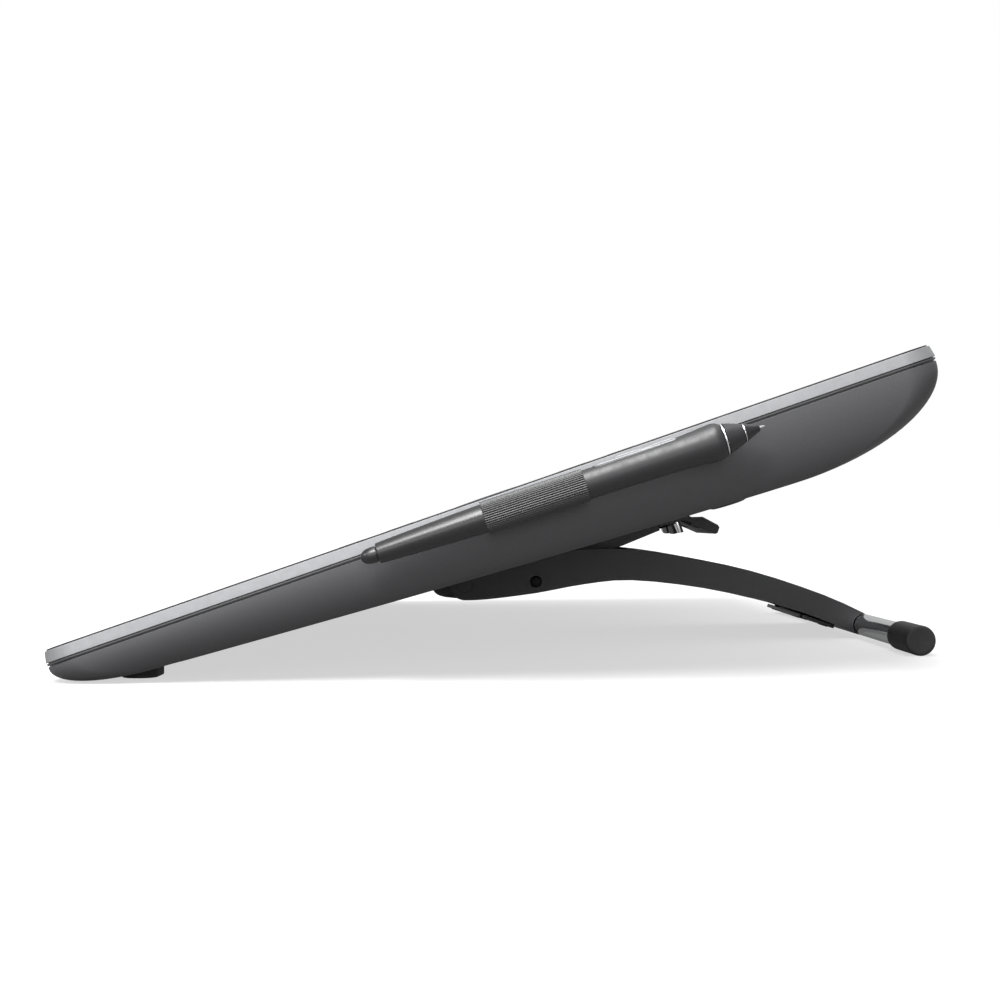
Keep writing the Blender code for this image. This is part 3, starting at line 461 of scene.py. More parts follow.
def make_anodised():
    """Bead-blasted, clear anodised aluminium: grey, fine and even, with a soft metal sheen."""
    material, tree, shader = finish_named("anodised_aluminium", "#7F8082", 0.55, 0.35)
    blast = grit(tree, 0.25, detail=2.0)
    vary(tree, shader, grit(tree, 3.0), "#7C7D7F", "#828385")
    tree.links.new(spread(tree, blast, 0.5, 0.6), shader.inputs["Roughness"])
    raise_by(tree, shader, blast, 0.006)
    return material


def make_lip_plastic():
    """Moulded ABS of the lip: dark grey, smoother than the cover."""
    material, tree, shader = finish_named("moulded_abs_satin", "#38383A", 0.42)
    fine = grit(tree, 0.5)
    vary(tree, shader, grit(tree, 12.0), "#353537", "#3B3B3D")
    tree.links.new(spread(tree, fine, 0.38, 0.46), shader.inputs["Roughness"])
    raise_by(tree, shader, fine, 0.006)
    return material


def make_cover_plastic():
    """Spark-eroded ABS of the rear cover: matte dark grey with an even fine grain of about 0.5 mm."""
    material, tree, shader = finish_named("spark_grained_abs", "#434345", 0.56)
    spark = grit(tree, 0.5, detail=3.0)
    vary(tree, shader, grit(tree, 0.7, detail=2.0), "#424244", "#464648")
    tree.links.new(spread(tree, spark, 0.52, 0.6), shader.inputs["Roughness"])
    raise_by(tree, shader, spark, 0.018)
    return material


def make_panel_plastic():
    """Black polycarbonate of the side panels: near black, low gloss."""
    material, tree, shader = finish_named("black_polycarbonate", "#151517", 0.38)
    fine = grit(tree, 0.4)
    vary(tree, shader, grit(tree, 8.0), "#131315", "#171719")
    tree.links.new(spread(tree, fine, 0.34, 0.43), shader.inputs["Roughness"])
    raise_by(tree, shader, fine, 0.005)
    return material


def make_key_plastic():
    """Double-shot ABS of keys and dials: dark grey satin, a touch more polished in random patches."""
    material, tree, shader = finish_named("double_shot_abs", "#262628", 0.4)
    fine = grit(tree, 0.3)
    tree.links.new(spread(tree, grit(tree, 6.0), 0.32, 0.46), shader.inputs["Roughness"])
    vary(tree, shader, fine, "#232325", "#29292B")
    raise_by(tree, shader, fine, 0.008)
    return material


def make_powder_coat():
    """Fine powder coat on die-cast zinc: dark grey satin with a faint orange peel."""
    material, tree, shader = finish_named("powder_coated_zinc", "#3A3A3D", 0.38, 0.0)
    peel = grit(tree, 1.1, detail=2.0)
    vary(tree, shader, grit(tree, 0.5), "#373739", "#3D3D40")
    tree.links.new(spread(tree, peel, 0.34, 0.44), shader.inputs["Roughness"])
    raise_by(tree, shader, peel, 0.02)
    return material


def make_zinc():
    """Bright zinc plating on pressed steel: grey, faintly mottled, lightly brushed."""
    material, tree, shader = finish_named("zinc_plated_steel", "#8E8F92", 0.36, 1.0)
    brush = grit(tree, 0.3, stretch=(14, 1, 1), detail=2.0)
    vary(tree, shader, grit(tree, 4.0), "#7F8083", "#9C9DA0")
    tree.links.new(spread(tree, brush, 0.28, 0.46), shader.inputs["Roughness"])
    raise_by(tree, shader, brush, 0.004)
    return material


def make_chrome():
    """Polished chrome plating: mirror bright, with hair-fine polishing lines round the rod."""
    material, tree, shader = finish_named("polished_chrome", "#D8D9DB", 0.06, 1.0)
    lines = grit(tree, 0.25, stretch=(1, 20, 20), detail=2.0)
    tree.links.new(spread(tree, lines, 0.04, 0.09), shader.inputs["Roughness"])
    return material


def make_rubber():
    """Moulded nitrile rubber: black-grey, matte, softly clouded."""
    material, tree, shader = finish_named("nitrile_rubber", "#2A2A2C", 0.62)
    bloom = grit(tree, 5.0)
    vary(tree, shader, bloom, "#262628", "#2F2F31")
    fine = grit(tree, 0.45)
    tree.links.new(spread(tree, fine, 0.55, 0.7), shader.inputs["Roughness"])
    raise_by(tree, shader, fine, 0.012)
    return material


def make_black_oxide():
    """Black oxide on steel screws and thin plates: blue-black, slightly oily."""
    material, tree, shader = finish_named("black_oxide_steel", "#141416", 0.4, 0.6)
    oil = grit(tree, 1.5)
    vary(tree, shader, oil, "#111113", "#1A1A1D")
    tree.links.new(spread(tree, oil, 0.32, 0.5), shader.inputs["Roughness"])
    return material


def make_board():
    """Glass-fibre circuit board under green solder mask, with the weave just showing."""
    material, tree, shader = finish_named("solder_masked_board", "#0E3F26", 0.35)
    weave = grit(tree, 0.8, stretch=(3, 1, 1))
    vary(tree, shader, weave, "#0B3620", "#124A2D")
    tree.links.new(spread(tree, weave, 0.3, 0.42), shader.inputs["Roughness"])
    return material


def make_guide():
    """White reflector film behind a clear acrylic light guide."""
    material, tree, shader = finish_named("white_reflector_film", "#E4E6E8", 0.3)
    vary(tree, shader, grit(tree, 2.0), "#DFE1E4", "#E9EBED")
    return material


def make_webbing():
    """Knitted elastic of nylon over rubber: black yarn with a slight shine and a trace of fuzz."""
    material, tree, shader = finish_named(
        "knitted_elastic", "#1C1C1E", 0.42, Sheen_Weight=0.05, Sheen_Roughness=0.5)
    yarn = grit(tree, 0.35, detail=3.0)
    vary(tree, shader, yarn, "#18181A", "#1F1F21")
    raise_by(tree, shader, yarn, 0.012)
    return material


def make_pen_gloss():
    """Moulded ABS of the pen's tail and tip: black, half polished, with long soft highlights."""
    material, tree, shader = finish_named("polished_abs", "#18181A", 0.32)
    haze = grit(tree, 2.5)
    vary(tree, shader, haze, "#161618", "#1B1B1D")
    tree.links.new(spread(tree, haze, 0.3, 0.35), shader.inputs["Roughness"])
    return material


def make_pen_satin():
    """Soft-touch elastomer of the pen's grip: black, velvety, with a broad dim highlight."""
    material, tree, shader = finish_named("soft_touch_elastomer", "#1E1E20", 0.46)
    fine = grit(tree, 0.3)
    vary(tree, shader, fine, "#1C1C1E", "#212123")
    tree.links.new(spread(tree, grit(tree, 4.0), 0.4, 0.52), shader.inputs["Roughness"])
    raise_by(tree, shader, fine, 0.006)
    return material


def make_silver():
    """Turned and nickel-plated brass of the pen's rings: bright, with faint turning lines."""
    material, tree, shader = finish_named("nickel_plated_brass", "#CFD0D2", 0.29, 1.0)
    lines = grit(tree, 0.2, stretch=(8, 1, 1))
    tree.links.new(spread(tree, lines, 0.27, 0.31), shader.inputs["Roughness"])
    return material


def make_nib_plastic():
    """Polyacetal of the nib and of the power lamp's lens: mid grey and waxy."""
    material, tree, shader = finish_named("pale_polyacetal", "#828284", 0.4)
    vary(tree, shader, grit(tree, 1.0), "#7A7A7C", "#8A8A8C")
    return material


ETCHED_GLASS = make_etched_glass()
ACTIVE_AREA = make_active_area()
ANODISED = make_anodised()
LIP_ABS = make_lip_plastic()
COVER_ABS = make_cover_plastic()
PANEL_PC = make_panel_plastic()
KEY_ABS = make_key_plastic()
POWDER = make_powder_coat()
ZINC = make_zinc()
CHROME = make_chrome()
RUBBER = make_rubber()
BLACK_OXIDE = make_black_oxide()
BOARD = make_board()
GUIDE = make_guide()
WEBBING = make_webbing()
PEN_GLOSS = make_pen_gloss()
PEN_SATIN = make_pen_satin()
SILVER = make_silver()
NIB_POM = make_nib_plastic()


# Tablet body

def edge_ring(inset, n, steps=12):
    """The body's plan, drawn in by inset, at a depth n below the glass."""
    low = (-HALF_X + inset, -DRAFT + inset)
    high = (HALF_X - inset, TOP_DEPTH + DRAFT - inset)
    return [(x, y, -n) for x, y in rounded(low, high, max(CORNER - inset, 2.0), steps)]


def make_frame_strip():
    """The light metal strip round the edge, with a chamfer at its rim."""
    section = [
        (1.5, RIM_N), (1.15, RIM_N), (0.95, RIM_N + 0.1), (0.86, RIM_N + 0.32), (0.05, STRIP_END_N - 0.3),
        (0.1, STRIP_END_N - 0.08), (0.3, STRIP_END_N), (9.0, STRIP_END_N), (9.0, 1.5), (1.5, 1.5),
    ]
    rings = [edge_ring(inset, n) for inset, n in section]
    settle(loft("frame_strip", rings + rings[:1]), TABLET, ANODISED, "tablet", ["front_frame"], crease=25)


def make_chassis_lip():
    """The dark lip, with steps set back from its edge that all but close the grooves above and below it."""
    upper_n, lower_n = STRIP_END_N + STEP_GAP, COVER_N - STEP_GAP
    section = [
        (0.55, LIP_START_N), (0.3, LIP_START_N + 0.1), (0.22, LIP_START_N + 0.3), (0.22, LIP_END_N - 0.3),
        (0.3, LIP_END_N - 0.1), (0.55, LIP_END_N), (STEP_INSET, LIP_END_N), (STEP_INSET, lower_n),
        (TONGUE_INSET, lower_n), (TONGUE_INSET, TONGUE_N), (INNER_INSET, TONGUE_N), (INNER_INSET, upper_n),
        (STEP_INSET, upper_n), (STEP_INSET, LIP_START_N),
    ]
    rings = [edge_ring(inset, n) for inset, n in section]
    settle(loft("chassis_lip", rings + rings[:1]), TABLET, LIP_ABS, "tablet", ["chassis"], crease=25)


def make_glass():
    """One sheet of glass, with the switched-off panel showing through as a slightly different black."""
    low, high = (-GLASS_HALF_X, DRAFT, -GLASS_T), (GLASS_HALF_X, TOP_DEPTH - DRAFT, 0)
    glass = plate("screen_glass", low, high, 0.6, 3)
    settle(soften(glass, 0.3), TABLET, ETCHED_GLASS, "tablet", ["cover_glass"])
    half_x, half_u = ACTIVE_HALF
    area = plate("active_area", (-half_x, MID_U - half_u, -0.2), (half_x, MID_U + half_u, 0.02), 1.0, 3)
    settle(area, TABLET, ACTIVE_AREA, "tablet")


def belly_n(u):
    """Depth of the belly below the glass at a distance u up the glass."""
    u = min(max(u, BELLY_FRONT_U), BELLY_REAR_U)
    reach = (BELLY_REAR_U - u) / (BELLY_REAR_U - BELLY_FRONT_U)
    return BELLY_DEEP_N - BELLY_RISE * reach ** BELLY_POWER


def cover_plan(corner_steps=10, spans=20):
    """Right half of the cover's plan, from the front round to the rear, as (x, u) points."""
    low_u, high_u = -DRAFT + 0.3, TOP_DEPTH + DRAFT - 0.3
    edge_x = HALF_X - 0.3
    quarter = [math.radians(90 * step / corner_steps) for step in range(corner_steps + 1)]
    turn_x = edge_x - CORNER
    front_u, rear_u = low_u + CORNER, high_u - CORNER
    line = [(turn_x + CORNER * math.sin(angle), front_u - CORNER * math.cos(angle)) for angle in quarter]
    line += [(edge_x, front_u + (rear_u - front_u) * step / spans) for step in range(1, spans)]
    line += [(turn_x + CORNER * math.cos(angle), rear_u + CORNER * math.sin(angle)) for angle in quarter]
    return line


def cover_rings(grow=0.0, steps=24):
    """The cover's surface: a short collar, a roll that turns down to the belly, then the belly itself."""
    plan = cover_plan()
    low_u, high_u = plan[0][1], plan[-1][1]
    start_n = COVER_N + COLLAR
    rings = []
    for step in range(steps + 1):
        theta = math.pi / 2 * step / steps
        inward = 1 - math.cos(theta)
        near_u = low_u + FRONT_ROLL * inward - grow * math.cos(theta)
        far_u = high_u - REAR_ROLL * inward + grow * math.cos(theta)
        narrow = (HALF_X - SIDE_ROLL * inward + grow * math.cos(theta)) / HALF_X
        row = []
        for x, u in plan:
            place = near_u + (u - low_u) / (high_u - low_u) * (far_u - near_u)
            depth = start_n + (belly_n(place) - start_n + grow) * math.sin(theta)
            row.append((x * narrow, place, -depth))
        rings.append(row)
    collar = [(x, u, -COVER_N - 0.2) for x, u, _ in rings[0]]
    rim = [(x * (1 - 0.25 / HALF_X), MID_U + (u - MID_U) * 0.999, -COVER_N) for x, u, _ in rings[0]]
    belly = [[(x * part, u, z) for x, u, z in rings[-1]] for part in (0.85, 0.7, 0.55, 0.4, 0.25, 0.12, 0.0)]
    halves = [rim, collar] + rings + belly
    return [half + [(-x, u, z) for x, u, z in reversed(half)] for half in halves]


def screw_place(x, u):
    """Place of a screw on the belly."""
    return Matrix.Translation((x, u, -belly_n(u)))


def make_rear_cover():
    """Moulded rear cover, with its vents, screw wells, loop slot and the window of the port bay."""
    cover = loft("rear_cover_shell", cover_rings(), filled=False)
    apply_modifier(cover, "SOLIDIFY", thickness=COVER_WALL, offset=-1, use_even_offset=False)
    (x0, u0), (x1, u1) = BAY
    carve(cover, plate("bay_window", (x0 - 0.3, u0 - 0.3, -45), (x1 + 0.3, u1 + 0.3, -12), 1.0))
    start_u, end_u = PEN_START_U + LOOP_START - 0.5, PEN_START_U + LOOP_END - 0.5
    carve(cover, plate("loop_slot", (305, start_u, -9.3), (320, end_u, -7.3), 0.8))
    slots = []
    for side in (1, -1):
        for index in range(VENT_COUNT):
            x = side * (VENT_FIRST_X + VENT_PITCH * index)
            low, high = (x - VENT_HALF, VENT_U[0], -45), (x + VENT_HALF, VENT_U[1], -20)
            slots.append(plate("vent_cutter", low, high, VENT_HALF - 0.01, 5))
    carve(cover, joined(slots))
    well = [(0, -6), (3.1, -6), (3.1, 1.2), (1.9, 1.2), (1.9, 4), (0, 4)]
    wells = [moved(turned("screw_well", well, 32), screw_place(x, u)) for x, u in COVER_SCREWS]
    carve(cover, joined(wells))
    settle(cover, TABLET, COVER_ABS, "tablet", ["back_cover"], crease=30)


def make_cover_screws():
    """Cross-head screws, sunk in the wells of the cover."""
    profile = [
        (0, 3.0), (1.5, 3.0), (1.5, 0.9), (2.7, 0.9), (2.8, 0.4), (2.3, -0.1), (1.2, -0.35), (0, -0.4),
    ]
    for number, (x, u) in enumerate(COVER_SCREWS, 1):
        head = crossed(turned("cover_screw_" + str(number), profile, 32), 1.6, 0.3, -2, 0.5)
        settle(moved(head, screw_place(x, u)), TABLET, BLACK_OXIDE, "tablet")


def make_port_tray():
    settle(refined("port_bay", "port_tray", 0.15), HERE, PANEL_PC, "tablet", ["port_bay"])


def make_sockets():
    """Socket shells in the port bay, with black tongues inside them."""
    shells = refined("port_sockets", "socket_shells", 0.12)
    settle(shells, HERE, ZINC, "tablet", ["port_sockets"])
    (x0, u0), (_, u1) = BAY
    mid_u = (u0 + u1) / 2
    for number, (offset, half_x) in enumerate(SOCKETS, 1):
        x = x0 + offset
        low, high = (x - half_x, mid_u - 1.15, -21.6), (x + half_x, mid_u - 0.55, -18.7)
        tongue = plate("socket_tongue_" + str(number), low, high, 0.2)
        settle(soften(tongue, 0.1), TABLET, PANEL_PC, "tablet")


def make_side_panels():
    """Black panels beside the glass, with holes for keys, dial and power button."""
    for side, name in ((1, "right"), (-1, "left")):
        low_x, high_x = sorted((side * PANEL_INNER_X, side * PANEL_OUTER_X))
        outline = rounded((low_x, DRAFT), (high_x, TOP_DEPTH - DRAFT), CORNER - 1.8, 10)
        inner_x = side * PANEL_INNER_X
        square = []
        for x, y in outline:
            if abs(x - inner_x) < CORNER - 1.8:
                x, y = inner_x, DRAFT if y < MID_U else TOP_DEPTH - DRAFT
            square.append((x, y))
        panel = loft("side_panel_" + name, [[(x, y, z) for x, y in square] for z in (-GLASS_T, 0.0)])
        cutters = []
        for offset in KEY_OFFSETS:
            half_x = KEY_SIZE[0] / 2 + KEY_GAP
            half_y = KEY_SIZE[1] / 2 + KEY_GAP
            x, y = side * KEY_X, MID_U + offset
            low, high = (x - half_x, y - half_y, -3), (x + half_x, y + half_y, 3)
            cutters.append(plate("key_hole", low, high, 2.3))
        rounds = [(MID_U, DIAL_R + KEY_GAP)] + ([(POWER_U, POWER_R + KEY_GAP)] if side > 0 else [])
        for u, radius in rounds:
            hole = turned("dial_hole", [(0, -3), (radius, -3), (radius, 3), (0, 3)], 72)
            cutters.append(moved(hole, Matrix.Translation((side * KEY_X, u, 0))))
        carve(panel, joined(cutters))
        settle(soften(panel, 0.14, 2, 50), TABLET, PANEL_PC, "tablet", ["key_panel_" + name])


def make_express_keys():
    """Dished keys with soft rims; the two beside each dial have a raised bar to find them by."""
    half_x, half_y = KEY_SIZE[0] / 2, KEY_SIZE[1] / 2
    section = [
        (-FLANGE, FLANGE_Z[0]), (-FLANGE, FLANGE_Z[1]), (0.0, FLANGE_Z[1]), (0.0, 0.02), (0.12, 0.16),
        (0.4, 0.25), (1.0, 0.25), (1.6, 0.2), (2.6, 0.13), (3.8, 0.09), (5.0, 0.08),
    ]
    rings = []
    for inset, z in section:
        corner = 2.5 if inset < 0 else max(2.0 - inset, 0.5)
        outline = rounded((-half_x + inset, -half_y + inset), (half_x - inset, half_y - inset), corner)
        rings.append([(x, y, z) for x, y in outline])
    model = loft("express_key", rings)
    bar = soften(plate("finding_bar", (-2.2, -0.35, -0.4), (2.2, 0.35, 0.3), 0.34), 0.12, 2)
    for side, name in ((1, "right"), (-1, "left")):
        for number, offset in enumerate(KEY_OFFSETS, 1):
            node = "key_" + name + "_" + str(number)
            place = (side * KEY_X, MID_U + offset, 0)
            key = copy_of(model, "express_" + node, place)
            body = name + "_key_" + str(number)
            settle(key, TABLET, KEY_ABS, body, [node], crease=40)
            if number in (2, 3):
                mark = copy_of(bar, "finding_bar_" + node, place)
                settle(mark, TABLET, KEY_ABS, body)
    bpy.data.objects.remove(model, do_unlink=True)
    bpy.data.objects.remove(bar, do_unlink=True)


def make_touch_dials():
    """Turning rings with fine ridges round their rim, round a dished centre."""
    profile = [
        (0, -0.55, 0), (2.4, -0.53, 0), (3.6, -0.45, 0), (4.1, -0.3, 0), (4.6, -0.12, 0), (5.2, -0.08, 0),
        (10.2, -0.08, 0), (11.0, 0.0, 0), (11.7, 0.17, 0), (12.2, 0.25, 0), (14.1, 0.25, 0.1),
        (14.7, 0.15, 0.22), (DIAL_R, -0.1, 0.28), (DIAL_R, FLANGE_Z[1], 0.28), (DIAL_R + 1.4, FLANGE_Z[1], 0),
        (DIAL_R + 1.4, FLANGE_Z[0], 0), (0, FLANGE_Z[0], 0),
    ]
    for side, name in ((1, "right"), (-1, "left")):
        rings = [circle(radius, z, 288, ripple, 72) for radius, z, ripple in profile]
        dial = moved(loft("touch_dial_" + name, rings), Matrix.Translation((side * KEY_X, MID_U, 0)))
        settle(dial, TABLET, KEY_ABS, name + "_dial", ["dial_" + name], crease=40)
        dot = turned("dial_mark_" + name, [(0, -0.3), (0.6, -0.3), (0.6, 0.24), (0.45, 0.29), (0, 0.3)], 24)
        moved(dot, Matrix.Translation((side * KEY_X, MID_U + MARK_R, 0)))
        settle(dot, TABLET, SILVER, name + "_dial")


def make_power_cap():
    """Power button: a dished cap with a raised ring, and no sign on it."""
    profile = [
        (0, 0.08), (1.6, 0.1), (2.6, 0.16), (3.0, 0.23), (3.4, 0.25), (3.8, 0.18), (POWER_R, 0.0),
        (POWER_R, FLANGE_Z[1]), (POWER_R + FLANGE, FLANGE_Z[1]), (POWER_R + FLANGE, FLANGE_Z[0]),
        (0, FLANGE_Z[0]),
    ]
    cap = moved(turned("power_cap", profile, 64), Matrix.Translation((KEY_X, POWER_U, 0)))
    settle(cap, TABLET, KEY_ABS, "power_key", ["power_button"], crease=40)
    lamp = turned("power_lamp", [(0, -0.4), (0.5, -0.4), (0.5, 0.04), (0.3, 0.1), (0, 0.12)], 20)
    moved(lamp, Matrix.Translation((KEY_X, LAMP_U, 0)))
    settle(lamp, TABLET, NIB_POM, "tablet")


def make_front_pads():
    """Rubber pads with rounded rims, shaped to the cover above and flat on the table."""
    for name in ("right", "left"):
        low, high = (Vector(corner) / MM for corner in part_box("front_foot_" + name))
        front, rear = (low.x, low.y - PAD_FORWARD, 0), (high.x, high.y - PAD_SHORTER, 8)
        pad = moved(soften(plate("front_pad_" + name, front, rear, 6.5, 8), 0.4), WORLD)
        carve(pad, moved(loft("pad_seat", cover_rings(0.12, 12)), TABLET))
        settle(pad, HERE, RUBBER, "tablet", ["front_foot_" + name])


def make_rear_bumpers():
    """Round rubber bumpers with domed faces, tilted with the belly."""
    profile = [
        (0, -1.65), (5.2, -1.68), (6.6, -1.55), (7.6, -1.2), (8.6, -0.7), (9.0, -0.3), (9.0, 0.3), (0, 0.3),
    ]
    tilt = Matrix.Rotation(BUMPER_TILT, 4, "X")
    for side, name in ((1, "right"), (-1, "left")):
        place = Matrix.Translation((side * BUMPER_X, BUMPER_U, -belly_n(BUMPER_U) - 0.1))
        bumper = moved(turned("rear_bumper_" + name, profile, 48), place, tilt)
        settle(bumper, TABLET, RUBBER, "tablet", ["rear_foot_" + name])


# Pen and its loop

def make_elastic_loop():
    """Knitted elastic, ribbed along the pen, round the pen and in through the cover's side."""
    outer, inner = LOOP_R, LOOP_R - LOOP_WALL
    section = [
        (outer - 0.12, LOOP_START), (outer, LOOP_START + 0.5), (outer, LOOP_END - 0.5),
        (outer - 0.12, LOOP_END), (inner, LOOP_END), (inner, LOOP_START),
    ]
    rings = []
    for radius, z in section:
        ripple = RIB_DEPTH if radius > inner else 0.0
        rings.append(circle(radius, z, LOOP_RIBS * 6, ripple, LOOP_RIBS))
    loop = loft("elastic_loop", rings + rings[:1])
    reach = PEN_X - LOOP_TAB_X
    pitch = math.tau * LOOP_R / LOOP_RIBS
    count = int((reach - LOOP_R) / pitch) * 6
    top = []
    for step in range(count + 1):
        x = -LOOP_R + 0.2 - (reach - LOOP_R + 0.2) * step / count
        top.append((x, -0.3 + 0.14 * (1 - abs(math.cos(math.pi * step / 6)))))
    bottom = [(x, 0.6 - y) for x, y in reversed(top)]
    tab = loft("loop_tab", [[(x, y, z) for x, y in top + bottom] for z in (LOOP_START + 1, LOOP_END - 1)])
    carve(loop, tab, "UNION")
    settle(loop, PEN, WEBBING, "tablet", ["pen_loop"], crease=50)


def make_pen():
    """The pen's shells, rings and tip, each turned on its axis."""
    tail = [
        (3.0, 6.5), (3.6, 6.6), (3.95, 7.0), (4.12, 10.0), (4.5, 18.0), (4.9, 28.0), (5.3, 39.0), (5.6, 50.0),
        (5.65, 69.5), (5.55, 69.8), (4.2, 69.8), (4.2, 50.0), (2.5, 14.0), (2.5, 6.5),
    ]
    settle(tube("pen_tail_shell", tail), PEN, PEN_GLOSS, "pen", ["pen_tail"])
    barrel = [
        (5.55, 70.1), (5.65, 70.4), (5.7, 82.0), (5.78, 94.0), (5.9, 103.0), (5.96, 110.0), (6.05, 118.0),
        (6.25, 124.5), (6.5, 130.0), (6.8, 134.0), (7.05, 137.0), (7.22, 139.3), (7.3, 140.6), (7.28, 141.6),
        (7.15, 142.4), (6.8, 143.4), (6.3, 144.2), (4.4, 144.2), (4.4, 70.1),
    ]
    shell = tube("pen_barrel_shell", barrel, 96)
    low, high = (-2.5, -12, BUTTON_START - 0.5), (2.5, -2, BUTTON_END + 0.5)
    carve(shell, plate("button_window", low, high, 0.3, 1))
    settle(shell, PEN, PEN_SATIN, "pen", ["pen_barrel"], crease=28)
    cap = [
        (0, 0), (0.7, 0.05), (1.3, 0.25), (2.0, 0.75), (2.5, 1.45), (2.85, 2.3), (3.05, 3.3), (3.1, 4.2),
        (3.1, 6.0), (3.0, 6.2), (2.1, 6.2), (2.1, 12.0), (0, 12.0),
    ]
    settle(turned("pen_tail_plug", cap), PEN, PEN_GLOSS, "pen", ["pen_tail_cap"])
    ring = [(6.0, 144.5), (6.15, 144.62), (6.15, 145.08), (6.0, 145.2), (3.4, 145.2), (3.4, 144.5)]
    settle(tube("pen_bright_ring", ring, 96), PEN, SILVER, "pen", ["pen_ring"])
    cone = [
        (5.85, 145.5), (6.0, 145.7), (5.3, 148.0), (4.5, 150.2), (3.75, 152.2), (3.6, 152.4), (2.0, 152.4),
        (2.0, 145.5),
    ]
    settle(tube("pen_grip_cone", cone), PEN, PEN_SATIN, "pen", ["pen_cone"])
    tip = [
        (3.4, 152.7), (3.52, 152.8), (3.5, 153.2), (3.3, 153.4), (2.3, 156.0), (1.35, 158.5), (1.1, 158.9),
        (0.95, 158.9), (0.95, 152.7),
    ]
    settle(tube("pen_tip_sleeve", tip), PEN, PEN_GLOSS, "pen", ["pen_tip"])
    small = [(3.5, 152.66), (3.57, 152.72), (3.57, 152.94), (3.5, 153.0), (3.3, 153.0), (3.3, 152.66)]
    settle(tube("pen_small_ring", small), PEN, SILVER, "pen")
    nib = [(0, 161.1), (0.2, 161.05), (0.42, 160.8), (0.58, 160.3), (0.65, 159.5), (0.65, 136.0), (0, 136.0)]
    settle(turned("pen_felt_nib", nib, 32), PEN, NIB_POM, "nib", ["pen_nib"])


def make_pen_rocker():
    """The side button, with a dip at its middle, in a light metal surround that stands on the barrel."""
    start, end = BUTTON_START - 9.0, BUTTON_END + 1.6
    outline = rounded((-2.9, start), (2.9, end), 2.6)
    surround = loft("button_surround", [
        [(x * (1 - inset / 3), y, start + (z - start) * (1 - inset / 20)) for x, z in outline]
        for inset, y in ((0, -4.9), (0, -5.7), (0.2, -5.95), (0.4, -6.0))])
    hole = rounded((-2.25, BUTTON_START - 0.25), (2.25, BUTTON_END + 0.25), 0.6, 3)
    carve(surround, loft("rocker_hole", [[(x, y, z) for x, z in hole] for y in (-3.0, -9.0)]))
    settle(surround, PEN, ANODISED, "pen")
    half = (BUTTON_END - BUTTON_START) / 2
    stations = 24
    rings = []
    for step in range(stations + 1):
        along = -1 + 2 * step / stations
        edge = min(1.0, (1 - abs(along)) * 8)
        crown = 0.35 * (1 - math.exp(-(along * 4) ** 2)) - 0.5 * (1 - math.sqrt(1 - (1 - edge) ** 2))
        top = -6.5 - crown
        z = BUTTON_MIDDLE + half * along
        rings.append([
            (-2.0, -4.7, z), (2.0, -4.7, z), (2.0, top + 0.5, z), (1.75, top + 0.15, z), (1.2, top, z),
            (0.0, top - 0.06, z), (-1.2, top, z), (-1.75, top + 0.15, z), (-2.0, top + 0.5, z),
        ])
    settle(loft("side_rocker", rings), PEN, ANODISED, "side_button", ["pen_button"], crease=40)


# Mount, lever and stand

def make_mount_pieces():
    """Mounting plate, hinge block and their screws, with a bright edge strip and its dark backing."""
    settle(refined("mount_plate", "mounting_plate", 0.35), HERE, POWDER, "tablet", ["mount_plate"])
    settle(refined("stand_base", "hinge_block", 0.6, 3), HERE, POWDER, "tablet", ["stand_base"])
    bright = plate("plate_edge_trim", (-46, 277.7, PLATE_TRIM[0]), (46, 279.3, PLATE_TRIM[1]), 0.3, 2)
    settle(soften(bright, 0.15, 2), TABLET, CHROME, "tablet")
    dark = plate("plate_edge_backing", (-44, 279.5, PLATE_BACKING[0]), (44, 280.7, PLATE_BACKING[1]), 0.3, 2)
    settle(soften(dark, 0.15, 2), TABLET, POWDER, "tablet")
    for number in range(1, 5):
        node = "mount_screw_" + str(number)
        settle(refined(node, node + "_head", 0.25), HERE, BLACK_OXIDE, "tablet", [node])


def make_lever_pieces():
    """The release paddle, with a light rib and a rubber stop under each half of it."""
    paddle = refined("release_lever", "release_paddle", 0.5, 3)
    settle(paddle, HERE, PANEL_PC, "lever", ["release_lever"])
    stiffener = [(283.4, 43.6), (284.6, 43.0), (291.4, 49.6), (294.6, 50.7), (294.3, 51.5), (290.4, 50.6)]
    stop = [(281.9, 43.9), (283.3, 42.4), (287.2, 45.9), (285.8, 47.4)]
    for side, name in ((1, "right"), (-1, "left")):
        low_x, high_x = sorted(side * x for x in RIB_X)
        rib = slab("paddle_stiffener_" + name, [(u, -n) for u, n in stiffener], low_x, high_x)
        settle(soften(rib, 0.15, 2), TABLET, ANODISED, "lever")
        low_x, high_x = sorted(side * x for x in STOP_X)
        block = slab("paddle_stop_" + name, [(u, -n) for u, n in stop], low_x, high_x)
        settle(soften(block, 0.2, 2), TABLET, RUBBER, "lever")


